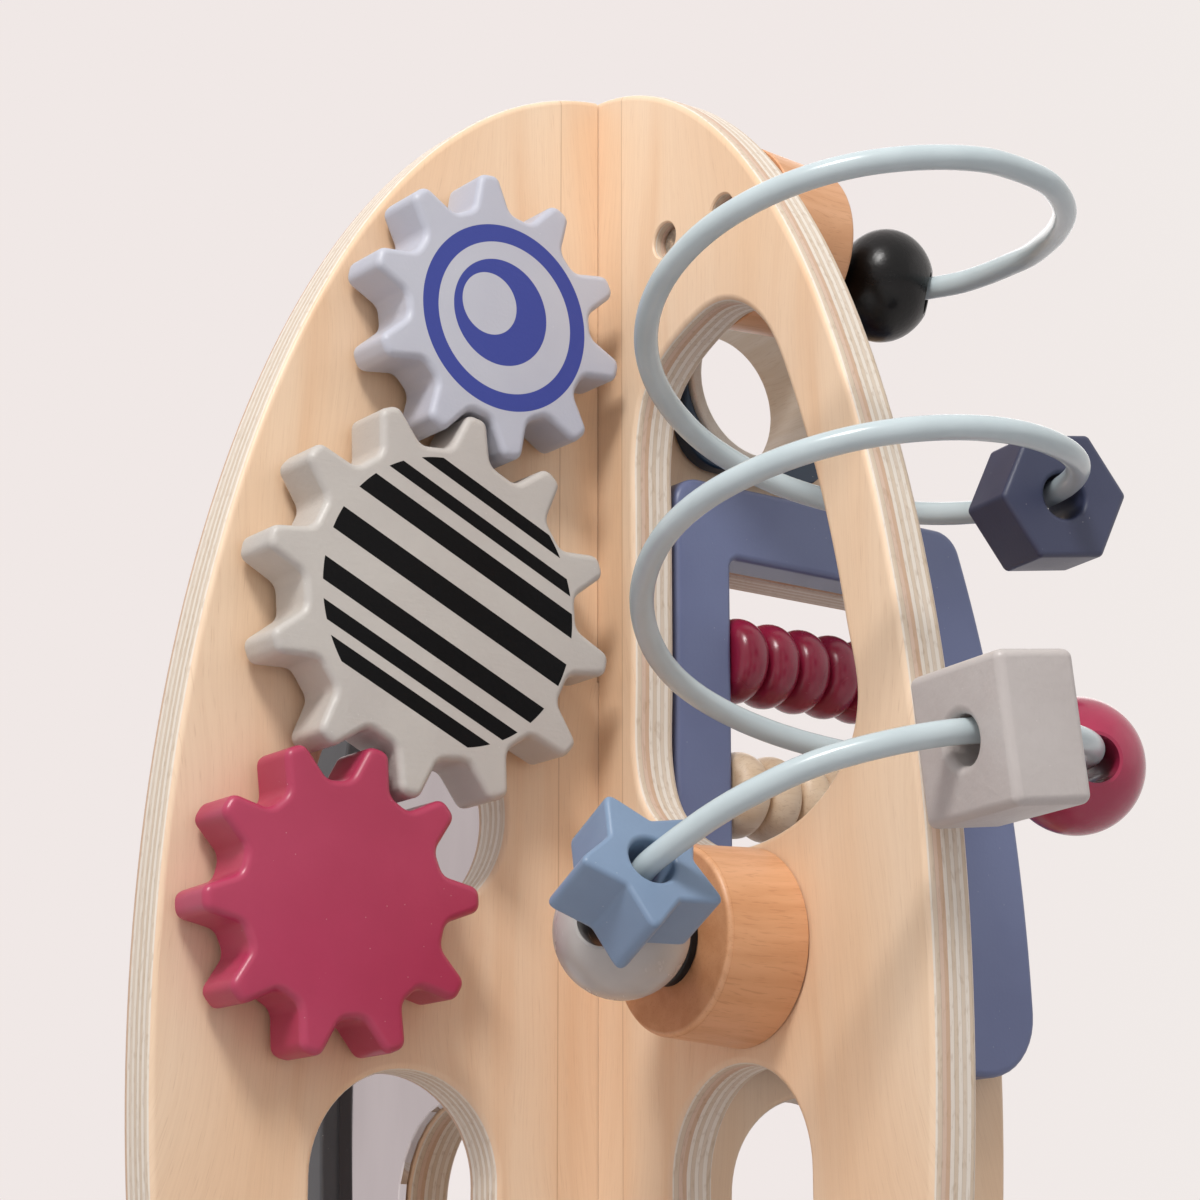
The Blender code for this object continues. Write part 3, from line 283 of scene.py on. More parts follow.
def egg_angle(height, inset=0.0):
    """The angle at which the outline, moved in by inset, passes a height."""
    low, high = -math.pi / 2, math.pi / 2
    for _ in range(50):
        middle = (low + high) / 2
        if egg_point(middle, inset)[1] < height:
            low = middle
        else:
            high = middle
    return (low + high) / 2


def egg_side(low_z, low_r, top_z, top_r, inset=0.0, steps=72):
    """The egg outline from a rounded bottom corner up to a rounded top corner, or to its peak."""
    start = egg_angle(low_z + low_r, inset + low_r)
    points = []
    if low_r > 0:
        x, z, lean = egg_point(start, inset + low_r)
        points += arc((x, z), low_r, -90, lean, 10)[:-1]
    end = math.pi / 2 if top_z is None else egg_angle(top_z - top_r, inset + top_r)
    for k in range(steps + 1):
        points.append(egg_point(start + (end - start) * k / steps, inset)[:2])
    if top_z is not None and top_r > 0:
        x, z, lean = egg_point(end, inset + top_r)
        points += arc((x, z), top_r, lean, 90, 10)[1:]
    return points


def mirrored(points):
    return [(-x, z) for x, z in reversed(points)]


def arch(centre_x):
    high = (centre_x, ARCH_Z[1] - ARCH_R)
    low = (centre_x, ARCH_Z[0] + ARCH_R)
    return arc(high, ARCH_R, 0, 180, 36) + arc(low, ARCH_R, 180, 360, 36)


def smooth_through(points, steps):
    """A closed curve through the points, with steps short lines between each two."""
    smooth = []
    count = len(points)
    for i in range(count):
        a, b, c, d = (Vector(points[(i + k) % count]) for k in (-1, 0, 1, 2))
        for k in range(steps):
            t = k / steps
            rise = (c - a) * t + (2 * a - 5 * b + 4 * c - d) * t ** 2 + (3 * b - a - 3 * c + d) * t ** 3
            smooth.append(tuple(b + rise / 2))
    return smooth


def leaf_opening():
    """The opening in the front wing that the wire's loops pass through."""
    outer_low = egg_point(egg_angle(LEAF_TURN_Z, LEAF_STRIP), LEAF_STRIP)[0]
    middle = (LEAF_INNER + outer_low) / 2
    half = (outer_low - LEAF_INNER) / 2
    points = []
    for k in range(7):
        a = math.radians(180 + 30 * k)
        points.append((middle + half * math.cos(a), LEAF_TURN_Z + (LEAF_TURN_Z - LEAF_LOW_Z) * math.sin(a)))
    for k in range(1, 6):
        height = LEAF_TURN_Z + (LEAF_OUTER_TOP_Z - LEAF_TURN_Z) * k / 5
        points.append(egg_point(egg_angle(height, LEAF_STRIP), LEAF_STRIP)[:2])
    reach = points[-1][0] - LEAF_TOP_FROM_AXIS
    drop = LEAF_TOP_Z - LEAF_OUTER_TOP_Z
    for out, down in ((0.72, 0.42), (0.36, 0.07), (0, 0)):
        points.append((LEAF_TOP_FROM_AXIS + out * reach, LEAF_TOP_Z - down * drop))
    reach = LEAF_TOP_FROM_AXIS - LEAF_INNER
    drop = LEAF_TOP_Z - LEAF_SHOULDER_Z
    for out, down in ((0.64, 0.13), (0.33, 0.33), (0.10, 0.62)):
        points.append((LEAF_INNER + out * reach, LEAF_TOP_Z - down * drop))
    points.append((LEAF_INNER, LEAF_SHOULDER_Z - 4 * MM))
    for k in range(1, 4):
        points.append((LEAF_INNER, LEAF_SHOULDER_Z + (LEAF_TURN_Z - LEAF_SHOULDER_Z) * k / 4))
    return smooth_through(mirrored(points), 8)


def moved_in(loop, distance):
    """The closed outline moved to its left, into the material, with mitred corners."""
    moved = []
    count = len(loop)
    for i in range(count):
        before = (Vector(loop[i]) - Vector(loop[i - 1])).normalized()
        after = (Vector(loop[(i + 1) % count]) - Vector(loop[i])).normalized()
        left_before = Vector((-before.y, before.x))
        left_after = Vector((-after.y, after.x))
        mitre = (left_before + left_after).normalized()
        reach = distance / max(mitre.dot(left_after), 0.4)
        moved.append(tuple(Vector(loop[i]) + mitre * reach))
    return moved


def mesh_from(bm):
    bmesh.ops.recalc_face_normals(bm, faces=bm.faces)
    mesh = bpy.data.meshes.new("shape")
    bm.to_mesh(mesh)
    bm.free()
    return mesh


def skin(bm, ring, following):
    """Faces from one ring of points to the next; a ring of one point closes the shape."""
    count = max(len(ring), len(following))
    for k in range(count):
        j = (k + 1) % count
        corners = []
        for vert in (ring[k % len(ring)], ring[j % len(ring)],
                     following[j % len(following)], following[k % len(following)]):
            if vert not in corners:
                corners.append(vert)
        bm.faces.new(corners)


def plate(outer, holes, low, high, rounding, steps=4):
    """A flat plate with through holes and rounded edges. Every outline is drawn anticlockwise."""
    bends = [math.pi / 2 * k / steps for k in range(steps + 1)]
    lower = [(low + rounding * (1 - math.cos(a)), rounding * (1 - math.sin(a))) for a in bends]
    upper = [(high + low - z, inset) for z, inset in reversed(lower)]
    bm = bmesh.new()
    rims = ([], [])
    for loop in [outer] + [list(reversed(hole)) for hole in holes]:
        rings = [[bm.verts.new((x, y, z)) for x, y in moved_in(loop, inset)] for z, inset in lower + upper]
        for ring, following in zip(rings, rings[1:]):
            skin(bm, ring, following)
        for rim, ring in zip(rims, (rings[0], rings[-1])):
            rim += [bm.edges.get((ring[i], ring[(i + 1) % len(ring)])) for i in range(len(ring))]
    for rim in rims:
        bmesh.ops.triangle_fill(bm, use_beauty=True, use_dissolve=False, edges=rim)
    return mesh_from(bm)


def turned(profile, closed=False, segments=64):
    """Turns (radius, height) points about local z; radius 0 closes the shape on the axis."""
    bm = bmesh.new()
    rings = []
    for radius, height in profile:
        turns = [2 * math.pi * k / segments for k in range(segments if radius else 1)]
        rings.append([bm.verts.new((radius * math.cos(a), radius * math.sin(a), height)) for a in turns])
    for ring, following in zip(rings, rings[1:] + (rings[:1] if closed else [])):
        skin(bm, ring, following)
    return mesh_from(bm)


def add_block(bm, x_range, y_range, z_range):
    corners = [bm.verts.new((x, y, z)) for z in z_range for y in y_range for x in x_range]
    for face in ((0, 2, 3, 1), (4, 5, 7, 6), (0, 1, 5, 4), (2, 6, 7, 3), (0, 4, 6, 2), (1, 3, 7, 5)):
        bm.faces.new([corners[i] for i in face])


def saw(piece, cutter_mesh, placed=Matrix()):
    """Cuts the shape of cutter_mesh out of a piece for good."""
    cutter = new_object("cutter", cutter_mesh)
    cutter.matrix_world = placed
    step = piece.modifiers.new("cut", "BOOLEAN")
    step.operation = "DIFFERENCE"
    step.solver = "EXACT"
    step.object = cutter
    bpy.context.view_layer.update()
    shape = piece.evaluated_get(bpy.context.evaluated_depsgraph_get())
    piece.data = bpy.data.meshes.new_from_object(shape)
    piece.modifiers.clear()
    bpy.data.objects.remove(cutter)


def make_piece(name, mesh, finish, placed=Matrix()):
    mesh.name = name
    piece = new_object(name, mesh)
    piece.matrix_world = placed
    mesh.materials.append(finish)
    return piece


def fit(piece, body, slot, *stands_for):
    """Shades a piece as its faces lie, and fixes it to its body in place of its CAD nodes."""
    piece.data.shade_smooth()
    piece.data.set_sharp_from_angle(angle=math.radians(35))
    even = piece.modifiers.new("even_faces", "WEIGHTED_NORMAL")
    even.keep_sharp = True
    even.weight = 90
    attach(piece, body)
    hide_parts(*stands_for)


def new_finish(name):
    """An empty material, its Principled shader and the piece's own coordinates."""
    made = bpy.data.materials.new(name)
    made.use_nodes = True
    tree = made.node_tree
    return made, tree.nodes["Principled BSDF"], put(tree, "TexCoord").outputs["Object"]


def bumps(strength, depth, height):
    inputs = {"Strength": strength, "Distance": depth, "Height": height}
    return put(height.id_data, "Bump", inputs).outputs[0]


FACE_VENEER_T = 0.9 * MM
PLIES = 11
VENEER_PALE, VENEER_MID, VENEER_WARM = "F0D4B6", "EAC5A1", "DDAA7C"
GEAR_WING_JOINT = -21.5 * MM
WIRE_WING_JOINT = -19.5 * MM
PLY_CREAM, PLY_TAN, PLY_RED, PLY_GLUE = "EBE0D3", "D6C2AB", "C98D66", "8E6C50"


def plywood(name, across, joint_at, seed):
    """Lacquered plywood: veneer with upright grain on the faces, and bare plies on every edge.

    across is the axis along the panel's width. Two strips of veneer meet at joint_at on it.
    """
    made, shader, place = new_finish(name)
    tree = place.id_data
    axes = put(tree, "SeparateXYZ", {0: place}).outputs
    wide, deep, up = axes[across], axes[1 - across], axes[2]
    half_side = times(sum_up("SIGN", deep), 3.7)

    def grain(sideways, per_width, per_height, detail, roughness=0.55):
        spot = put(tree, "CombineXYZ", {0: times(sideways, per_width), 1: half_side,
                                        2: times(up, per_height)}).outputs[0]
        return noise(spot, 1.0, detail, roughness)

    def apart_from(value, middle):
        return sum_up("ABSOLUTE", sum_up("SUBTRACT", value, middle))

    def of_each(number):
        return put(tree, "TexWhiteNoise", {"W": number}, noise_dimensions="1D").outputs[0]

    # slow waves push the grain sideways, which draws long flames in it
    bend = grain(wide, 9.0, 4.0, 2.0, 0.5)
    strip = sum_up("GREATER_THAN", wide, joint_at)
    moved = plus(wide, plus(times(bend, 0.09), times(strip, 0.7 + seed)))
    clouds = grain(moved, 26.0, 3.2, 2.0)
    flames = grain(moved, 46.0, 3.4, 3.0)
    fibres = grain(moved, 1500.0, 30.0, 2.0)
    pores = grain(moved, 3200.0, 130.0, 1.0)
    face = mixed(spread(clouds, 0.32, 0.68), VENEER_MID, VENEER_PALE)
    face = tinted(face, flames, 0.52, 0.78, 0.45, VENEER_WARM)
    face = tinted(face, fibres, 0.35, 0.75, 0.08, "B9855A")
    face = tinted(face, pores, 0.60, 0.78, 0.16, "A8744C")
    # the joint between two strips of veneer
    joint = spread(apart_from(wide, joint_at), 0.0, 0.35 * MM, 0.5, 0.0)
    face = mixed(joint, face, "A97C55")
    # the plies, counted through the thickness
    count_up = plus(sum_up("DIVIDE", deep, (PANEL_T - 0.04 * MM) / PLIES), PLIES / 2)
    waver = noise(place, 60.0)
    count_up = plus(count_up, spread(waver, 0.2, 0.8, -0.07, 0.07))
    ply = sum_up("FLOOR", count_up)
    crossing = sum_up("MODULO", ply, 2.0)
    tone = of_each(plus(ply, seed))
    end_grain = noise(place, (900.0, 900.0, 260.0), 3.0)
    shade = plus(times(crossing, 0.55), times(tone, 0.45))
    edge = mixed(spread(shade, 0.1, 0.95), PLY_CREAM, PLY_TAN)
    edge = mixed(times(spread(tone, 0.80, 0.9), 0.4), edge, PLY_RED)
    edge = tinted(edge, end_grain, 0.52, 0.72, 0.3, "A98763")
    # only some of the glue lines are dark
    glued = of_each(plus(sum_up("FLOOR", plus(count_up, 0.5)), seed + 20))
    line = spread(apart_from(sum_up("FRACT", count_up), 0.5), 0.43, 0.5)
    line = times(line, spread(glued, 0.4, 0.7, 0.1, 0.5))
    edge = mixed(line, edge, PLY_GLUE)
    veneer_starts = half_t - FACE_VENEER_T
    on_face = spread(sum_up("ABSOLUTE", deep), veneer_starts - 0.1 * MM, veneer_starts + 0.1 * MM)
    on_edge = sum_up("SUBTRACT", 1.0, on_face)
    matt = plus(spread(clouds, 0.3, 0.7, 0.37, 0.46), times(on_edge, 0.12))
    relief = plus(times(fibres, 0.6), times(pores, -0.4))
    relief = sum_up("SUBTRACT", relief, times(on_edge, times(line, 1.5)))
    wire_up(shader, {"Base Color": mixed(on_face, edge, face), "Roughness": matt,
                     "Normal": bumps(0.25, 0.12 * MM, relief)})
    return made


side = egg_side(0, BASE_CORNER_R, None, 0)
panel_outline = side + mirrored(side)[1:]
window = rounded_box(WINDOW_X, WINDOW_Z, WINDOW_CORNER_R)
port_hole = circle(PORT_AT, PORT_RING_R + GAP, 96)
gear_holes = [circle(PEEP_AT, PEEP_R, 96), arch(-ARCH_FROM_AXIS), arch(ARCH_FROM_AXIS), window, port_hole]
gear_panel = make_piece("gear_panel_ply", plate(panel_outline, gear_holes, -half_t, half_t, EDGE_ROUND),
                        plywood("gear_panel_plywood", 0, GEAR_WING_JOINT, 0.13))
gear_panel.data.transform(in_gear_plane())
wire_holes = [leaf_opening(), arch(-ARCH_FROM_AXIS), arch(MIRROR_ARCH_FROM_AXIS)]
wire_panel = make_piece("wire_panel_ply", plate(panel_outline, wire_holes, -half_t, half_t, EDGE_ROUND),
                        plywood("wire_panel_plywood", 1, WIRE_WING_JOINT, 0.41))
wire_panel.data.transform(in_wire_plane())
across_slot = (-half_t - GAP, half_t + GAP)
through = (-2 * PANEL_T, 2 * PANEL_T)
gear_panel_cuts = bmesh.new()
add_block(gear_panel_cuts, across_slot, through, (LAP_Z - GAP / 2, PANEL_HEIGHT + 10 * MM))
wire_panel_cuts = bmesh.new()
add_block(wire_panel_cuts, through, across_slot, (-10 * MM, LAP_Z + GAP / 2))

# Screws: steel wood screws with cross recesses, sunk in counterbored holes in the panels. They
# hold the hubs and the mirror's frame from the wire panel, and the abacus board from the gear panel.
SCREW_SHANK_R = 2 * MM
SCREW_HEAD_R = 4.4 * MM
SCREW_HEAD_T = 2.4 * MM
SCREW_SEAT_R = 5.4 * MM
SCREW_SEAT_DEPTH = 6 * MM
SCREW_BITE = 6.5 * MM
SEAT_EASE = 0.45 * MM
HUB_SCREW_HALF = 13.75 * MM
LOWER_HUB_AT = (-76 * MM, 129.2 * MM)
UPPER_HUB_AT = (-54.5 * MM, 343.5 * MM)
BOARD_SCREWS = [(20 * MM, 266 * MM), (108 * MM, 267 * MM), (21 * MM, 130 * MM), (126 * MM, 130 * MM)]
MIRROR_SCREWS = [(19 * MM, 60 * MM), (19 * MM, 245 * MM), (132 * MM, 200 * MM), (140 * MM, 90 * MM)]
screw_length = SCREW_HEAD_T + PANEL_T - SCREW_SEAT_DEPTH + 2 * GAP + SCREW_BITE


def brushed_steel(name, colour, rough):
    """Plated steel with fine turning marks, a little duller where it was handled."""
    made, shader, place = new_finish(name)
    lines = noise(place, (60.0, 60.0, 4000.0))
    cloud = noise(place, 350.0, 3.0)
    wire_up(shader, {
        "Base Color": mottled(cloud, colour, "8F8D8A"),
        "Metallic": 1.0, "Roughness": spread(cloud, 0.3, 0.7, rough, rough + 0.14),
        "Normal": bumps(0.2, 0.03 * MM, lines)})
    return made


screw_steel = brushed_steel("screw_steel", "CFCCC8", 0.24)
seat_floor = -SCREW_HEAD_T - GAP
seat_shape = [(0, seat_floor + SCREW_SEAT_DEPTH + 2 * MM),
              (SCREW_SEAT_R + SEAT_EASE, seat_floor + SCREW_SEAT_DEPTH + 2 * MM),
              (SCREW_SEAT_R + SEAT_EASE, seat_floor + SCREW_SEAT_DEPTH),
              (SCREW_SEAT_R, seat_floor + SCREW_SEAT_DEPTH - SEAT_EASE),
              (SCREW_SEAT_R, seat_floor), (SCREW_SHANK_R + GAP, seat_floor),
              (SCREW_SHANK_R + GAP, seat_floor - PANEL_T), (0, seat_floor - PANEL_T)]
screw_shape = [(0, 0), (SCREW_HEAD_R - 0.9 * MM, 0), (SCREW_HEAD_R - 0.3 * MM, -0.25 * MM),
               (SCREW_HEAD_R, -0.9 * MM), (SCREW_HEAD_R, -SCREW_HEAD_T),
               (SCREW_SHANK_R, -SCREW_HEAD_T)]
for turn in range(14):
    height = -SCREW_HEAD_T - PANEL_T + SCREW_SEAT_DEPTH - 0.45 * MM * turn
    screw_shape += [(SCREW_SHANK_R if turn % 2 else SCREW_SHANK_R - 0.35 * MM, height)]
screw_shape += [(0.3 * MM, -screw_length), (0, -screw_length)]
recess = bmesh.new()
add_block(recess, (-2.1 * MM, 2.1 * MM), (-0.45 * MM, 0.45 * MM), (-1.3 * MM, 1 * MM))
add_block(recess, (-0.45 * MM, 0.45 * MM), (-2.1 * MM, 2.1 * MM), (-1.29 * MM, 1.1 * MM))
recess_mesh = mesh_from(recess)


def hub_screws(at):
    return [(at[0] - HUB_SCREW_HALF, at[1]), (at[0] + HUB_SCREW_HALF, at[1])]


wall_screws = [(wood, number, *spot, Vector(driven)) for wood, spots, driven in (
    ("upper_hub", hub_screws(UPPER_HUB_AT), (1, 0, 0)), ("lower_hub", hub_screws(LOWER_HUB_AT), (-1, 0, 0)),
    ("mirror_frame", MIRROR_SCREWS, (-1, 0, 0)), ("board", BOARD_SCREWS, (0, -1, 0)),
) for number, spot in enumerate(spots, 1)]
for count, (wood, number, aside, z, driven) in enumerate(wall_screws):
    in_wire_wing = driven.x != 0
    place = Vector((0, aside, z) if in_wire_wing else (aside, 0, z))
    head = place + driven * (SCREW_SEAT_DEPTH - SCREW_HEAD_T - GAP - half_t)
    placed = along(head, -driven, (0, 0.1, 1)) @ Matrix.Rotation(0.7 * count, 4, "Z")
    seat = turned(seat_shape, segments=40)
    seat.transform(placed)
    (wire_panel_cuts if in_wire_wing else gear_panel_cuts).from_mesh(seat)
    node = "%s_screw_%d" % (wood, number)
    screw = make_piece(node + "_steel", turned(screw_shape, segments=40), screw_steel, placed)
    saw(screw, recess_mesh.copy(), placed)
    fit(screw, "toy_body", "steel", node)
saw(gear_panel, mesh_from(gear_panel_cuts))
saw(wire_panel, mesh_from(wire_panel_cuts))

# Gears: three discs of solid wood with cut teeth, rounded edges and thick satin paint. They turn
# on steel pins through the gear wing and mesh in a column; two carry a print on the front.
GEAR_T = 18 * MM
GEAR_EDGE_ROUND = 2.2 * MM
TOOTH_TIP_W = 6.4 * MM
TOOTH_TIP_ROUND = 3.4 * MM
VALLEY_ROUND = 4.5 * MM
PIN_R = 4 * MM
PIN_HEAD_R = 8 * MM
PIN_HEAD_T = 3.2 * MM
PIN_IN_GEAR = 12 * MM
WASHER_T = 1.4 * MM
MIDDLE_GEAR_AT = (-73.8 * MM, 225.6 * MM)
UPPER_GEAR_AT = (-55.9 * MM, 313.8 * MM)
LOWER_GEAR_AT = (-103.5 * MM, 140.0 * MM)
# number of teeth, radius of their tips, radius of the valleys, width of a tooth at its root
SMALL_TEETH = (10, 42.8 * MM, 32 * MM, 13 * MM)
LARGE_TEETH = (12, 56.8 * MM, 45 * MM, 14 * MM)
DUST_WHITE = (0.9, 0.88, 0.86, 1.0)
# the prints, in mm from the gear's middle: circles as x, y and radius, stripes as low and high edge
PRINT_BLUR = 0.06
RINGS = [(1.0, -0.8, 28.0), (1.0, -0.8, 22.8), (-0.6, 0.5, 16.0), (-4.4, 2.4, 9.3)]
STRIPES = [(33.0, 37.1), (24.7, 28.7), (13.7, 20.3), (-1.4, 5.9), (-16.1, -9.8), (-25.5, -20.8),
           (-33.5, -28.7)]
STRIPE_NORMAL = (0.416, 0.909, 0.0)
STRIPE_CIRCLE = (1.6, 0.4, 41.2)
gear_back = -(half_t + 2 * GAP + WASHER_T)


def round_corners(corners, steps):
    """A closed outline whose corners are each cut by a short curve."""
    points = []
    count = len(corners)
    for i, (corner, radius) in enumerate(corners):
        before = corners[i - 1][0] - corner
        after = corners[(i + 1) % count][0] - corner
        cut = min(radius / math.tan(before.angle(after) / 2), 0.48 * before.length, 0.48 * after.length)
        start = corner + before.normalized() * cut
        end = corner + after.normalized() * cut
        for k in range(steps + 1):
            t = k / steps
            points.append(tuple(start * (1 - t) ** 2 + corner * 2 * t * (1 - t) + end * t ** 2))
    return points


def around(radius, turn):
    a = math.radians(turn)
    return Vector((radius * math.cos(a), radius * math.sin(a)))


def tooth_outline(teeth, tip_r, root_r, root_w, phase):
    """Straight-sided teeth with rounded tips and valleys, the first one at phase degrees."""
    corners = []
    for i in range(teeth):
        for radius, width, side, rounding in ((root_r, root_w, -1, VALLEY_ROUND),
                                              (tip_r, TOOTH_TIP_W, -1, TOOTH_TIP_ROUND),
                                              (tip_r, TOOTH_TIP_W, 1, TOOTH_TIP_ROUND),
                                              (root_r, root_w, 1, VALLEY_ROUND)):
            lean = math.degrees(math.asin(width / 2 / radius))
            corners.append((around(radius, phase + 360 * i / teeth + side * lean), rounding))
    return round_corners(corners, 6)


def paint(name, colour, shade, rough, peel, peel_size, print_on=None, grain=(60.0, 1400.0, 900.0)):
    """Satin paint on wood: slightly pebbled by the roller, with a trace of the grain under it."""
    made, shader, place = new_finish(name)
    pebbles = noise(place, 1 / peel_size, 3.0)
    cloud = noise(place, 28.0, 3.0)
    fibres = noise(place, grain)
    base = tinted(mottled(cloud, colour, shade), pebbles, 0.35, 0.65, 0.10, shade)
    specks = put(place.id_data, "TexVoronoi", {"Vector": place, "Scale": 260.0}).outputs["Distance"]
    base = mixed(spread(specks, 0.03, 0.05, 0.25, 0.0), base, DUST_WHITE)
    gloss = spread(cloud, 0.3, 0.7, rough - 0.04, rough + 0.05)
    if print_on is not None:
        ink, inked = print_on(place)
        base = mixed(inked, base, ink)
        gloss = sum_up("SUBTRACT", gloss, times(inked, 0.06))
        wire_up(shader, {"Specular IOR Level": spread(inked, 0.0, 1.0, 0.5, 0.12)})
    relief = plus(pebbles, times(fibres, 0.35))
    wire_up(shader, {"Base Color": base, "Roughness": gloss, "Normal": bumps(0.5, peel, relief)})
    return made


def inside_circle(place, x, y, radius):
    """1 within a circle on the gear's front face and 0 outside it; the measures are in mm."""
    tree = place.id_data
    flat = put(tree, "VectorMath", {0: place, 1: (1.0, 1.0, 0.0)}, operation="MULTIPLY").outputs[0]
    apart = put(tree, "VectorMath", {0: flat, 1: (x * MM, y * MM, 0.0)}, operation="DISTANCE")
    return spread(apart.outputs["Value"], (radius - PRINT_BLUR) * MM, (radius + PRINT_BLUR) * MM,
                  1.0, 0.0)


def on_front(place, inked):
    height = put(place.id_data, "SeparateXYZ", {0: place}).outputs[2]
    return times(inked, sum_up("GREATER_THAN", height, GEAR_T - 0.2 * MM))


def rings_print(place):
    """An open ring round a disc with a pale dot to one side of its middle."""
    ring, ring_hole, disc, dot = (inside_circle(place, *drawn) for drawn in RINGS)
    inked = sum_up("ADD", sum_up("SUBTRACT", ring, ring_hole),
                   sum_up("SUBTRACT", disc, dot), clamp=True)
    return "434D98", on_front(place, inked)


def stripes_print(place):
    """Slanting black stripes of uneven width, cut off by a circle."""
    offset = put(place.id_data, "VectorMath", {0: place, 1: STRIPE_NORMAL}, operation="DOT_PRODUCT")
    inked = 0.0
    for low, high in STRIPES:
        middle = (low + high) / 2
        half = (high - low) / 2
        apart = sum_up("ABSOLUTE", sum_up("SUBTRACT", offset.outputs["Value"], middle * MM))
        inked = plus(inked, spread(apart, (half - PRINT_BLUR) * MM,
                                   (half + PRINT_BLUR) * MM, 1.0, 0.0))
    inked = times(inked, inside_circle(place, *STRIPE_CIRCLE))
    return "08080A", on_front(place, inked)


pin_steel = brushed_steel("pin_steel", "C9C7C3", 0.28)
gear_list = [
    ("upper_gear", SMALL_TEETH, 96.0, UPPER_GEAR_AT, "ice_blue_paint",
     paint("ice_blue_satin", "C0C1CB", "BABBC7", 0.44, 0.10 * MM, 1.0 * MM, rings_print)),
    ("middle_gear", LARGE_TEETH, 109.5, MIDDLE_GEAR_AT, "stone_paint",
     paint("stone_satin", "C6C0B9", "BEB7B1", 0.42, 0.22 * MM, 1.5 * MM, stripes_print)),
    ("lower_gear", SMALL_TEETH, 113.0, LOWER_GEAR_AT, "raspberry_paint",
     paint("raspberry_satin", "B43A5B", "AC3454", 0.36, 0.05 * MM, 1.4 * MM))]
under_head = -half_t - GAP
pin_end = -gear_back + PIN_IN_GEAR
dome = [(PIN_HEAD_R * math.sin(a), under_head - PIN_HEAD_T * (0.25 + 0.75 * math.cos(a)))
        for a in [math.pi / 2 * k / 10 for k in range(11)]]
pin_shape = dome + [(PIN_HEAD_R, under_head), (PIN_R, under_head), (PIN_R, pin_end), (0, pin_end)]
for name, teeth, phase, (x, z), slot_name, finish in gear_list:
    gear = make_piece(name + "_wood", plate(tooth_outline(*teeth, phase), [], 0, GEAR_T,
                                            GEAR_EDGE_ROUND, 5), finish, in_gear_plane(x, gear_back, z))
    fit(gear, name, slot_name, name)
    pin = make_piece(name + "_pin_steel", turned(pin_shape, segments=48), pin_steel,
                     in_gear_plane(x, 0, z))
    fit(pin, "toy_body", "steel", name + "_pin")
    nodes[name + "_washer"].data.materials[0] = pin_steel
fit(gear_panel, "toy_body", "plywood", "gear_panel")
fit(wire_panel, "toy_body", "plywood", "wire_panel")

# Hubs: turned beech, screwed on through the wire wing, one on each side. A short socket in each
# takes an end of the bead wire. A thin black collar round its mouth is painted shade: its black
# stands for the dark shadowed gap where the wire leaves the hub.
HUB_R = 27 * MM
HUB_FACE_R = 25.5 * MM
HUB_H = 25.5 * MM
HUB_EDGE = 1.5 * MM
SOCKET_DEPTH = 13 * MM
COLLAR_R = 12.4 * MM
COLLAR_T = 2.6 * MM
COLLAR_EDGE = 0.9 * MM
WIRE_R = 3.3 * MM
SOCKET_R = WIRE_R + 0.6 * MM
COLLAR_BORE_R = SOCKET_R + 1.2 * MM


def turned_wood(name, light, mid, dark, rough):
    """Lacquered beech with close grain: short dark flecks, finer across the end of the fibres."""
    made, shader, place = new_finish(name)
    tree = place.id_data
    warp = put(tree, "TexNoise", {"Vector": place, "Scale": 45.0, "Detail": 1.0}).outputs["Color"]
    warped = put(tree, "VectorMath", {0: warp, 1: (0.004, 0.004, 0.004), 2: place},
                 operation="MULTIPLY_ADD").outputs[0]
    rings = noise(warped, (231.0, 231.0, 16.5), 3.0)
    flecks = noise(warped, (2100.0, 2100.0, 150.0), 1.0)
    colour = tinted(mottled(rings, light, mid), flecks, 0.55, 0.75, 0.28, dark)
    # the ends drink more lacquer and are darker
    facing = put(tree, "SeparateXYZ", {0: put(tree, "TexCoord").outputs["Normal"]}).outputs[2]
    colour = tinted(colour, sum_up("ABSOLUTE", facing), 0.8, 1.0, 0.3, dark)
    wire_up(shader, {
        "Base Color": colour, "Roughness": spread(rings, 0.3, 0.7, rough - 0.04, rough + 0.06),
        "Normal": bumps(0.25, 0.12 * MM, times(flecks, -1.0))})
    return made


def lacquer(name, colour, shade, rough, ripple=0.05 * MM, ripple_size=2.2 * MM, mirroring=0.5):
    """Glossy lacquer over turned wood, with the faint dimples of a dipped coat."""
    made, shader, place = new_finish(name)
    dimples = noise(place, 1 / ripple_size)
    cloud = noise(place, 70.0, 3.0)
    scuffs = noise(place, (90.0, 1100.0, 400.0))
    gloss = plus(spread(cloud, 0.3, 0.7, rough, rough + 0.04), spread(scuffs, 0.6, 0.75, 0.0, 0.02))
    wire_up(shader, {
        "Base Color": mottled(cloud, colour, shade), "Roughness": gloss,
        "Specular IOR Level": mirroring, "Normal": bumps(0.4, ripple, dimples)})
    return made


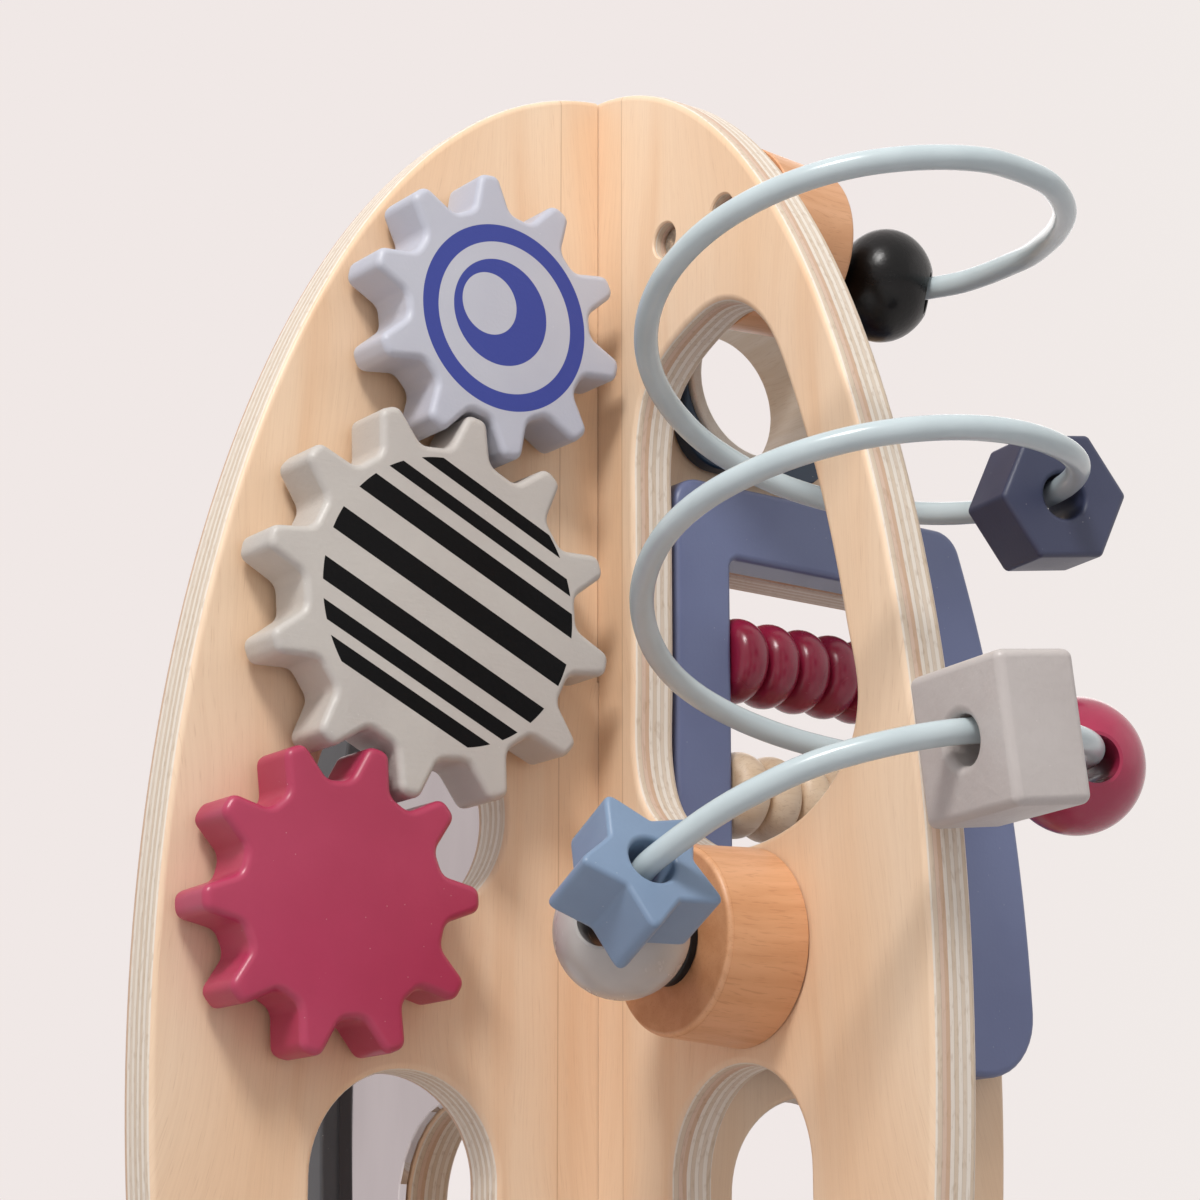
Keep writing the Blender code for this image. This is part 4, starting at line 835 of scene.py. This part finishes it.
beech = turned_wood("beech", "E0A97E", "D39A6E", "A8693F", 0.42)
# painted shade: black lacquer for the collars, standing for the shadowed gap round the wire
shade_collar = lacquer("collar_painted_shade", "0E0E10", "131315", 0.42, mirroring=0.25)
socket_floor = HUB_H - SOCKET_DEPTH - GAP
hub_shape = [(0, 0), (HUB_R - 0.4 * MM, 0), (HUB_R, 0.4 * MM), (HUB_FACE_R + 0.08 * MM, HUB_H - HUB_EDGE)]
hub_shape += arc((HUB_FACE_R - HUB_EDGE, HUB_H - HUB_EDGE), HUB_EDGE, 0, 90, 6)
hub_shape += [(SOCKET_R + 0.3 * MM, HUB_H), (SOCKET_R, HUB_H - 0.3 * MM), (SOCKET_R, socket_floor),
              (0, socket_floor)]
low = HUB_H + GAP
high = low + COLLAR_T
collar_shape = [(COLLAR_BORE_R, low), (COLLAR_R, low)]
collar_shape += arc((COLLAR_R - COLLAR_EDGE, high - COLLAR_EDGE), COLLAR_EDGE, 0, 90, 5)
collar_shape += [(COLLAR_BORE_R + 0.5 * MM, high), (COLLAR_BORE_R, high - 0.5 * MM)]
for name, (y, z), facing in (("lower_hub", LOWER_HUB_AT, -1), ("upper_hub", UPPER_HUB_AT, 1)):
    placed = along((facing * (half_t + GAP), y, z), (facing, 0, 0))
    hub = make_piece(name + "_beech", turned(hub_shape, segments=96), beech, placed)
    fit(hub, "toy_body", "turned_wood", name)
    # the collar's black is painted shade where the wire leaves the hub's socket
    collar = make_piece(name + "_ring", turned(collar_shape, True), shade_collar, placed)
    fit(collar, "toy_body", "black_lacquer", name + "_collar")

# Bead wire: one steel rod with a pale plastic coat, bent into loops round the outer strip of the
# wire wing. Its ends are glued into the two hubs.
LOOP_FROM_AXIS = 118 * MM
LOOP_R_LOW = 59 * MM
LOOP_R_HIGH = 57.6 * MM
LOOP_WIDE_TURN = 500
LOOP_NARROW_TURN = 860
LOOP_STEPS = 74
LOOP_RISE = [(250, 169.9), (270, 172.6), (300, 174.8), (330, 176.6), (360, 179.6), (390, 184),
             (420, 190.1), (445, 196.5), (475, 206), (505, 219), (535, 231), (565, 239.6),
             (595, 246.2), (625, 249.9), (655, 251.4), (690, 253.3), (725, 254.9), (755, 258.5),
             (785, 264.8), (815, 274.2), (840, 283.6), (865, 292.9), (890, 302.1), (915, 310.3),
             (945, 317.9), (975, 322.5), (990, 324)]
LOWER_LEAD = [(-36.5, 42, 129.2), (-41.6, 41.7, 128.4), (-48.3, 39.8, 127.7), (-55, 36.5, 127.5),
              (-60.6, 31.8, 128), (-65, 26.3, 129.2), (-68, 20.1, 130.9), (-70.1, 13.9, 133),
              (-71.4, 8.1, 135.2), (-72, 3.2, 137.6), (-71.6, -0.9, 140.2), (-67.2, -15.1, 147.9),
              (-63.1, -23.1, 152.4), (-58.6, -29.2, 155.9), (-53.8, -34.7, 159.1),
              (-48.6, -39.7, 161.8), (-42.6, -44.3, 164.1), (-36.2, -48.5, 166.1),
              (-29.4, -52, 167.9)]
UPPER_LEAD = [(19.4, -53.9, 325.3), (31.5, -47.5, 326.2), (44.6, -36.7, 327.6), (57.2, -21, 330),
              (66.3, -5.3, 332.3), (70.7, 5.6, 333.4), (71.8, 14.2, 333.9), (71.7, 23.5, 333.9),
              (70.2, 32.9, 333.8), (66.9, 41.1, 333.9), (62.7, 48.2, 334), (57.5, 53.8, 334.6),
              (50.1, 58.9, 337.8), (41.1, 62.5, 342.2)]


def on_curve(start, pull_start, end, pull_end, t):
    """A point on the smooth curve that leaves start and reaches end along the two pulls."""
    return (start * (2 * t ** 3 - 3 * t ** 2 + 1) + pull_start * (t ** 3 - 2 * t ** 2 + t)
            + end * (3 * t ** 2 - 2 * t ** 3) + pull_end * (t ** 3 - t ** 2))


def rise_at(turn):
    """Height of the loops at a turn, in mm, on a smooth curve through the listed heights."""
    i = max(k for k in range(len(LOOP_RISE) - 1) if LOOP_RISE[k][0] <= turn)
    (a0, z0), (a1, z1) = LOOP_RISE[i], LOOP_RISE[i + 1]
    before = LOOP_RISE[max(i - 1, 0)]
    after = LOOP_RISE[min(i + 2, len(LOOP_RISE) - 1)]
    slope0 = (z1 - before[1]) / (a1 - before[0])
    slope1 = (after[1] - z0) / (after[0] - a0)
    span = a1 - a0
    return on_curve(z0, span * slope0, z1, span * slope1, (turn - a0) / span)


def loop_point(turn):
    ease = min(max((turn - LOOP_WIDE_TURN) / (LOOP_NARROW_TURN - LOOP_WIDE_TURN), 0), 1)
    radius = LOOP_R_LOW + (LOOP_R_HIGH - LOOP_R_LOW) * ease
    a = math.radians(turn)
    return Vector((radius * math.cos(a), -LOOP_FROM_AXIS + radius * math.sin(a), rise_at(turn) * MM))


def lead(points):
    """The points of a lead, which are measured from the loops' middle."""
    return [Vector((x * MM, y * MM - LOOP_FROM_AXIS, z * MM)) for x, y, z in points]


def curve_through(points, steps):
    """Closely spaced points on a smooth curve through points in space."""
    path = []
    for i in range(len(points) - 1):
        b, c = points[i], points[i + 1]
        a = points[i - 1] if i > 0 else b * 2 - c
        d = points[i + 2] if i + 2 < len(points) else c * 2 - b
        length = (c - b).length
        pull_b = (c - a) * (length / (length + (b - a).length))
        pull_c = (d - b) * (length / ((d - c).length + length))
        path += [on_curve(b, pull_b, c, pull_c, k / steps) for k in range(steps)]
    return path + [points[-1]]


hub_face = half_t + GAP + HUB_H
first, last = LOOP_RISE[0][0], LOOP_RISE[-1][0]
y, z = LOWER_HUB_AT
wire_points = [Vector((-hub_face + SOCKET_DEPTH, y, z)), Vector((-hub_face, y, z))] + lead(LOWER_LEAD)
wire_points += [loop_point(first + (last - first) * k / LOOP_STEPS) for k in range(LOOP_STEPS + 1)]
y, z = UPPER_HUB_AT
wire_points += lead(UPPER_LEAD) + [Vector((hub_face, y, z)), Vector((hub_face - SOCKET_DEPTH, y, z))]
wire_path = curve_through(wire_points, 6)
wire_lengths = [0.0]
for a, b in zip(wire_path, wire_path[1:]):
    wire_lengths.append(wire_lengths[-1] + (b - a).length)


def wire_at(distance):
    for i in range(len(wire_path) - 1):
        if wire_lengths[i + 1] >= distance or i == len(wire_path) - 2:
            t = (distance - wire_lengths[i]) / (wire_lengths[i + 1] - wire_lengths[i])
            return wire_path[i].lerp(wire_path[i + 1], t)


def wire_tube(step, sides):
    count = round(wire_lengths[-1] / step)
    centres = [wire_at(wire_lengths[-1] * k / count) for k in range(count + 1)]
    turns = [2 * math.pi * i / sides for i in range(sides)]
    bm = bmesh.new()
    rings = []
    side = Vector((0, 0, 1))
    for k, centre in enumerate(centres):
        ahead = (centres[min(k + 1, count)] - centres[max(k - 1, 0)]).normalized()
        side = (side - ahead * side.dot(ahead)).normalized()
        up = ahead.cross(side)
        rings.append([bm.verts.new(centre + (side * math.cos(a) + up * math.sin(a)) * WIRE_R)
                      for a in turns])
    for ring, following in zip(rings, rings[1:]):
        skin(bm, ring, following)
    bm.faces.new(list(reversed(rings[0])))
    bm.faces.new(rings[-1])
    return mesh_from(bm)


coated_wire = lacquer("pale_coat", "C3CFD2", "BDC9CC", 0.2, 0.01 * MM, 3.5 * MM)
wire = make_piece("bead_wire_rod", wire_tube(2 * MM, 28), coated_wire)
fit(wire, "toy_body", "coated_wire", "bead_wire")

# Wire beads: six drilled wooden beads threaded on the wire. Three hang by the tops of their holes
# where the wire runs level, and three sit where it slopes into the hubs.
BEAD_HOLE_R = 6.4 * MM
BEAD_HOLE_STEPS = 16
HANG_GAP = 0.5 * MM
SPHERE_R = 17.9 * MM
SPHERE_HOLE_R = 7.2 * MM
SPHERE_AT = 38.3 * MM
STAR_R = 22 * MM
STAR_WAIST_R = 12.6 * MM
STAR_T = 20.4 * MM
STAR_AT = 72.4 * MM
STAR_ROLL = 12
STAR_FACES = (0.712, -0.311, -0.629)
BLOCK_SIZE = 38.6 * MM
BLOCK_T = 23.4 * MM
BLOCK_TURN = 264
BALL_R = 18.6 * MM
BALL_FROM_BLOCK = 43 * MM
HEXAGON_R = 19.8 * MM
HEXAGON_T = 20.6 * MM
HEXAGON_ROLL = 23.4
HEXAGON_TURN = 706
DARK_BEAD_R = 17.1 * MM
DARK_BEAD_T = 27.8 * MM
DARK_BEAD_FROM_END = 41 * MM


def length_at_turn(turn):
    target = loop_point(turn)
    return wire_lengths[min(range(len(wire_path)), key=lambda i: (wire_path[i] - target).length)]


def threaded(distance, thickness, roll=0, hangs=False, hint=(0, 0, 1)):
    """Where a drilled bead sits: its hole lies midway between the wire's arc and its chord."""
    start = wire_at(distance - thickness / 2)
    end = wire_at(distance + thickness / 2)
    middle = wire_at(distance)
    centre = (start + end) / 4 + middle / 2
    if hangs:
        room = BEAD_HOLE_R * math.cos(math.pi / BEAD_HOLE_STEPS) - WIRE_R - HANG_GAP
        centre.z -= math.sqrt(max(room ** 2 - (middle - centre).length ** 2, 0))
    return along(centre, end - start, hint) @ Matrix.Rotation(math.radians(roll), 4, "Z")


def drilled_ball(radius, hole_r, stretch=1):
    """A drilled ball, or a barrel where stretch isn't 1, eased round the hole."""
    start = math.acos(hole_r / radius)
    ease = 0.05
    rim = stretch * radius * math.sin(start) - 0.5 * MM
    points = [(hole_r, -rim)]
    for k in range(37):
        a = (start - ease) * (k / 18 - 1)
        points.append((radius * math.cos(a), stretch * radius * math.sin(a)))
    return turned(points + [(hole_r, rim)], True, 96)


def drilled_block(outline, thickness, rounding, steps=5):
    hole = circle((0, 0), BEAD_HOLE_R, 48)
    return plate(outline, [hole], -thickness / 2, thickness / 2, rounding, steps)


def add_bead(name, mesh, placed, finish, slot_name):
    bead = make_piece(name + "_wood", mesh, finish, placed)
    fit(bead, name, slot_name, name)


star = [(around(radius, turn), rounding) for i in range(5) for radius, turn, rounding in (
    (STAR_R, 72 * i, 2.6 * MM), (STAR_WAIST_R, 72 * i + 36, 2 * MM))]
hexagon = [(around(HEXAGON_R, 60 * i), 2 * MM) for i in range(6)]
block_side = (-BLOCK_SIZE / 2, BLOCK_SIZE / 2)
block_at = length_at_turn(BLOCK_TURN)
ball_at = block_at + BLOCK_T / 2 + BALL_FROM_BLOCK + BALL_R
barrel_stretch = DARK_BEAD_T / 2 / math.sqrt(DARK_BEAD_R ** 2 - BEAD_HOLE_R ** 2)
add_bead("sphere_bead", drilled_ball(SPHERE_R, SPHERE_HOLE_R), threaded(SPHERE_AT, 2 * SPHERE_R),
         lacquer("stone_gloss", "BCB7B3", "B5AFAB", 0.24), "stone_lacquer")
add_bead("star_bead", drilled_block(round_corners(star, 6), STAR_T, 1.4 * MM),
         threaded(STAR_AT, STAR_T, STAR_ROLL, hint=STAR_FACES),
         paint("denim_satin", "7F95B0", "768BA6", 0.40, 0.05 * MM, 1.2 * MM), "denim_paint")
add_bead("block_bead", drilled_block(rounded_box(block_side, block_side, 2.5 * MM), BLOCK_T, 2.5 * MM, 6),
         threaded(block_at, BLOCK_T, hangs=True),
         paint("block_satin", "C4BCB8", "BCB3AF", 0.40, 0.35 * MM, 3.2 * MM), "stone_bead_paint")
add_bead("ball_bead", drilled_ball(BALL_R, BEAD_HOLE_R), threaded(ball_at, 2 * BALL_R, hangs=True),
         lacquer("raspberry_gloss", "AE2F52", "A5294B", 0.2), "raspberry_lacquer")
add_bead("hexagon_bead", drilled_block(round_corners(hexagon, 6), HEXAGON_T, 1.6 * MM),
         threaded(length_at_turn(HEXAGON_TURN), HEXAGON_T, HEXAGON_ROLL, True),
         paint("slate_satin", "40455F", "3A3F59", 0.40, 0.06 * MM, 0.9 * MM), "slate_paint")
add_bead("dark_bead", drilled_ball(DARK_BEAD_R, BEAD_HOLE_R, barrel_stretch),
         threaded(wire_lengths[-1] - DARK_BEAD_FROM_END, DARK_BEAD_T),
         lacquer("black_gloss", "060607", "09090A", 0.27, 0.2 * MM, 1.6 * MM, 0.3), "black_lacquer")

# Abacus: a painted board on the front of the board wing, with a window over the panel's own. Two
# steel rods let into its sides carry a row of wine-red discs and a row of plain ones.
BOARD_T = 15 * MM
BOARD_Z = (107 * MM, 279 * MM)
BOARD_FROM_PANEL = 2.6 * MM
BOARD_INNER_R = 9 * MM
BOARD_TOP_R = 10 * MM
BOARD_BOTTOM_R = 20 * MM
ROD_R = 3 * MM
ROD_IN_WOOD = 8 * MM
ROD_HEIGHTS = (226.5 * MM, 185.5 * MM)
DISC_R = 13 * MM
DISC_PITCH = 11.9 * MM
DISCS_ON_ROD = 5
RUNNING_GAP = 0.35 * MM

board_left = half_t + BOARD_FROM_PANEL
board_low = half_t + GAP
outline = arc((board_left + BOARD_INNER_R, BOARD_Z[0] + BOARD_INNER_R), BOARD_INNER_R, 180, 270, 10)
outline += egg_side(BOARD_Z[0], BOARD_BOTTOM_R, BOARD_Z[1], BOARD_TOP_R, steps=48)
outline += arc((board_left + BOARD_INNER_R, BOARD_Z[1] - BOARD_INNER_R), BOARD_INNER_R, 90, 180, 10)
board = make_piece("abacus_board_wood", plate(outline, [window], board_low, board_low + BOARD_T,
                                              EDGE_ROUND),
                   paint("periwinkle_satin", "6A7498", "646D91", 0.42, 0.07 * MM, 1.2 * MM,
                         grain=(1400.0, 900.0, 60.0)))
board.data.transform(in_gear_plane())
fit(board, "toy_body", "periwinkle_paint", "abacus_board")
rod_y = -(board_low + BOARD_T / 2)
rod_from = WINDOW_X[0] - ROD_IN_WOOD
rod_length = WINDOW_X[1] - WINDOW_X[0] + 2 * ROD_IN_WOOD
rod_shape = [(0, 0), (ROD_R, 0), (ROD_R, rod_length), (0, rod_length)]
rod_steel = brushed_steel("rod_steel", "D2D0CC", 0.2)
wine = lacquer("wine_gloss", "8E1C3A", "841835", 0.24)
plain_wood = turned_wood("plain_beech", "E6CFB4", "DABE9F", "AA835C", 0.4)
disc_half = DISC_PITCH / 2 - GAP / 2
bore = ROD_R + RUNNING_GAP
disc_shape = [(bore, -disc_half + 0.4 * MM), (bore + 0.4 * MM, -disc_half)]
for k in range(17):
    a = math.pi * (k / 16 - 0.5)
    disc_shape.append((0.62 * DISC_R + 0.38 * DISC_R * math.cos(a), disc_half * math.sin(a)))
disc_shape += [(bore + 0.4 * MM, disc_half), (bore, disc_half - 0.4 * MM)]
for row, z, slot_name, finish in (("upper_row", ROD_HEIGHTS[0], "wine_lacquer", wine),
                                  ("lower_row", ROD_HEIGHTS[1], "pale_wood", plain_wood)):
    rod = make_piece(row + "_rod_steel", turned(rod_shape, segments=40), rod_steel,
                     along((rod_from, rod_y, z), (1, 0, 0)))
    fit(rod, "toy_body", "steel", row + "_rod")
    for i in range(DISCS_ON_ROD):
        name = "%s_disc_%d" % (row, i + 1)
        x = WINDOW_X[0] + GAP + DISC_PITCH * (i + 0.5)
        placed = along((x, rod_y, z), (1, 0, 0)) @ Matrix.Rotation(1.3 * i, 4, "Z")
        disc = make_piece(name + "_wood", turned(disc_shape, True, 72), finish, placed)
        fit(disc, name, slot_name, name)

# Round window: a turned pale ring glued through the board wing above the abacus, with a thin
# painted plate round it on the front.
PORT_BORE_R = 22.5 * MM
PORT_FRONT = 7.5 * MM
PORT_BACK = 1 * MM
PORT_RING_ROUND = 1 * MM
PORT_PLATE_HALF = 29 * MM
PORT_PLATE_CORNER_R = 14 * MM
PORT_PLATE_T = 6 * MM

port_x, port_z = PORT_AT
plate_shape = rounded_box((port_x - PORT_PLATE_HALF, port_x + PORT_PLATE_HALF),
                          (port_z - PORT_PLATE_HALF, port_z + PORT_PLATE_HALF), PORT_PLATE_CORNER_R, 16)
port_plate = make_piece("port_plate_wood", plate(plate_shape, [port_hole], board_low,
                                                 board_low + PORT_PLATE_T, 1.2 * MM),
                        paint("navy_satin", "0D2E48", "0A2840", 0.34, 0.05 * MM, 1.2 * MM))
port_plate.data.transform(in_gear_plane())
fit(port_plate, "toy_body", "navy_paint", "port_plate")
inner_r, outer_r = PORT_BORE_R + PORT_RING_ROUND, PORT_RING_R - PORT_RING_ROUND
back = -half_t - PORT_BACK + PORT_RING_ROUND
front = half_t + PORT_FRONT - PORT_RING_ROUND
ring_shape = []
for r, h, start in ((inner_r, back, 180), (outer_r, back, 270), (outer_r, front, 0), (inner_r, front, 90)):
    ring_shape += arc((r, h), PORT_RING_ROUND, start, start + 90, 5)
ring = make_piece("port_ring_wood", turned(ring_shape, True, 96),
                  turned_wood("pale_beech", "EFE6DA", "E6DACA", "C6B49E", 0.42),
                  in_gear_plane(port_x, 0, port_z))
fit(ring, "toy_body", "pale_wood", "port_ring")

# Mirror: a thin safety mirror against the mirror wing, held by a charcoal painted frame that is
# open at the floor end and screwed on from the other side.
FRAME_T = 9 * MM
FRAME_LOW_Z = 30 * MM
FRAME_FROM_AXIS = 12 * MM
FRAME_INNER_W = 14 * MM
FRAME_OUTER_W = 20 * MM
FRAME_TOP_W = 23 * MM

inner = FRAME_FROM_AXIS + FRAME_INNER_W
frame_top = BOARD_Z[1]
window_top = frame_top - FRAME_TOP_W
outline = [(FRAME_FROM_AXIS, FRAME_LOW_Z), (inner, FRAME_LOW_Z), (inner, window_top)]
outline += list(reversed(egg_side(FRAME_LOW_Z, 0, window_top, 0, FRAME_OUTER_W, 40)))
outline += egg_side(FRAME_LOW_Z, 0, frame_top, BOARD_TOP_R, steps=48)
outline += arc((FRAME_FROM_AXIS + BOARD_INNER_R, frame_top - BOARD_INNER_R), BOARD_INNER_R, 90, 180, 10)
mirror_frame = make_piece("mirror_frame_wood", plate(outline, [], -board_low - FRAME_T, -board_low,
                                                     1.2 * MM),
                          paint("charcoal_satin", "4E4E51", "47474A", 0.36, 0.06 * MM, 1.2 * MM,
                                grain=(900.0, 1400.0, 60.0)))
mirror_frame.data.transform(in_wire_plane())
fit(mirror_frame, "toy_body", "charcoal_paint", "mirror_frame")
silvered, shader, place = new_finish("silvered_sheet")
smears = noise(place, (30.0, 30.0, 9.0), 4.0)
waves = noise(place, 14.0, 1.0)
wire_up(shader, {
    "Base Color": mottled(smears, "C4BEC0", "BBB5B7"), "Metallic": 1.0,
    "Roughness": spread(smears, 0.45, 0.7, 0.03, 0.1), "Normal": bumps(0.15, 0.6 * MM, waves)})
nodes["mirror"].data.materials[0] = silvered
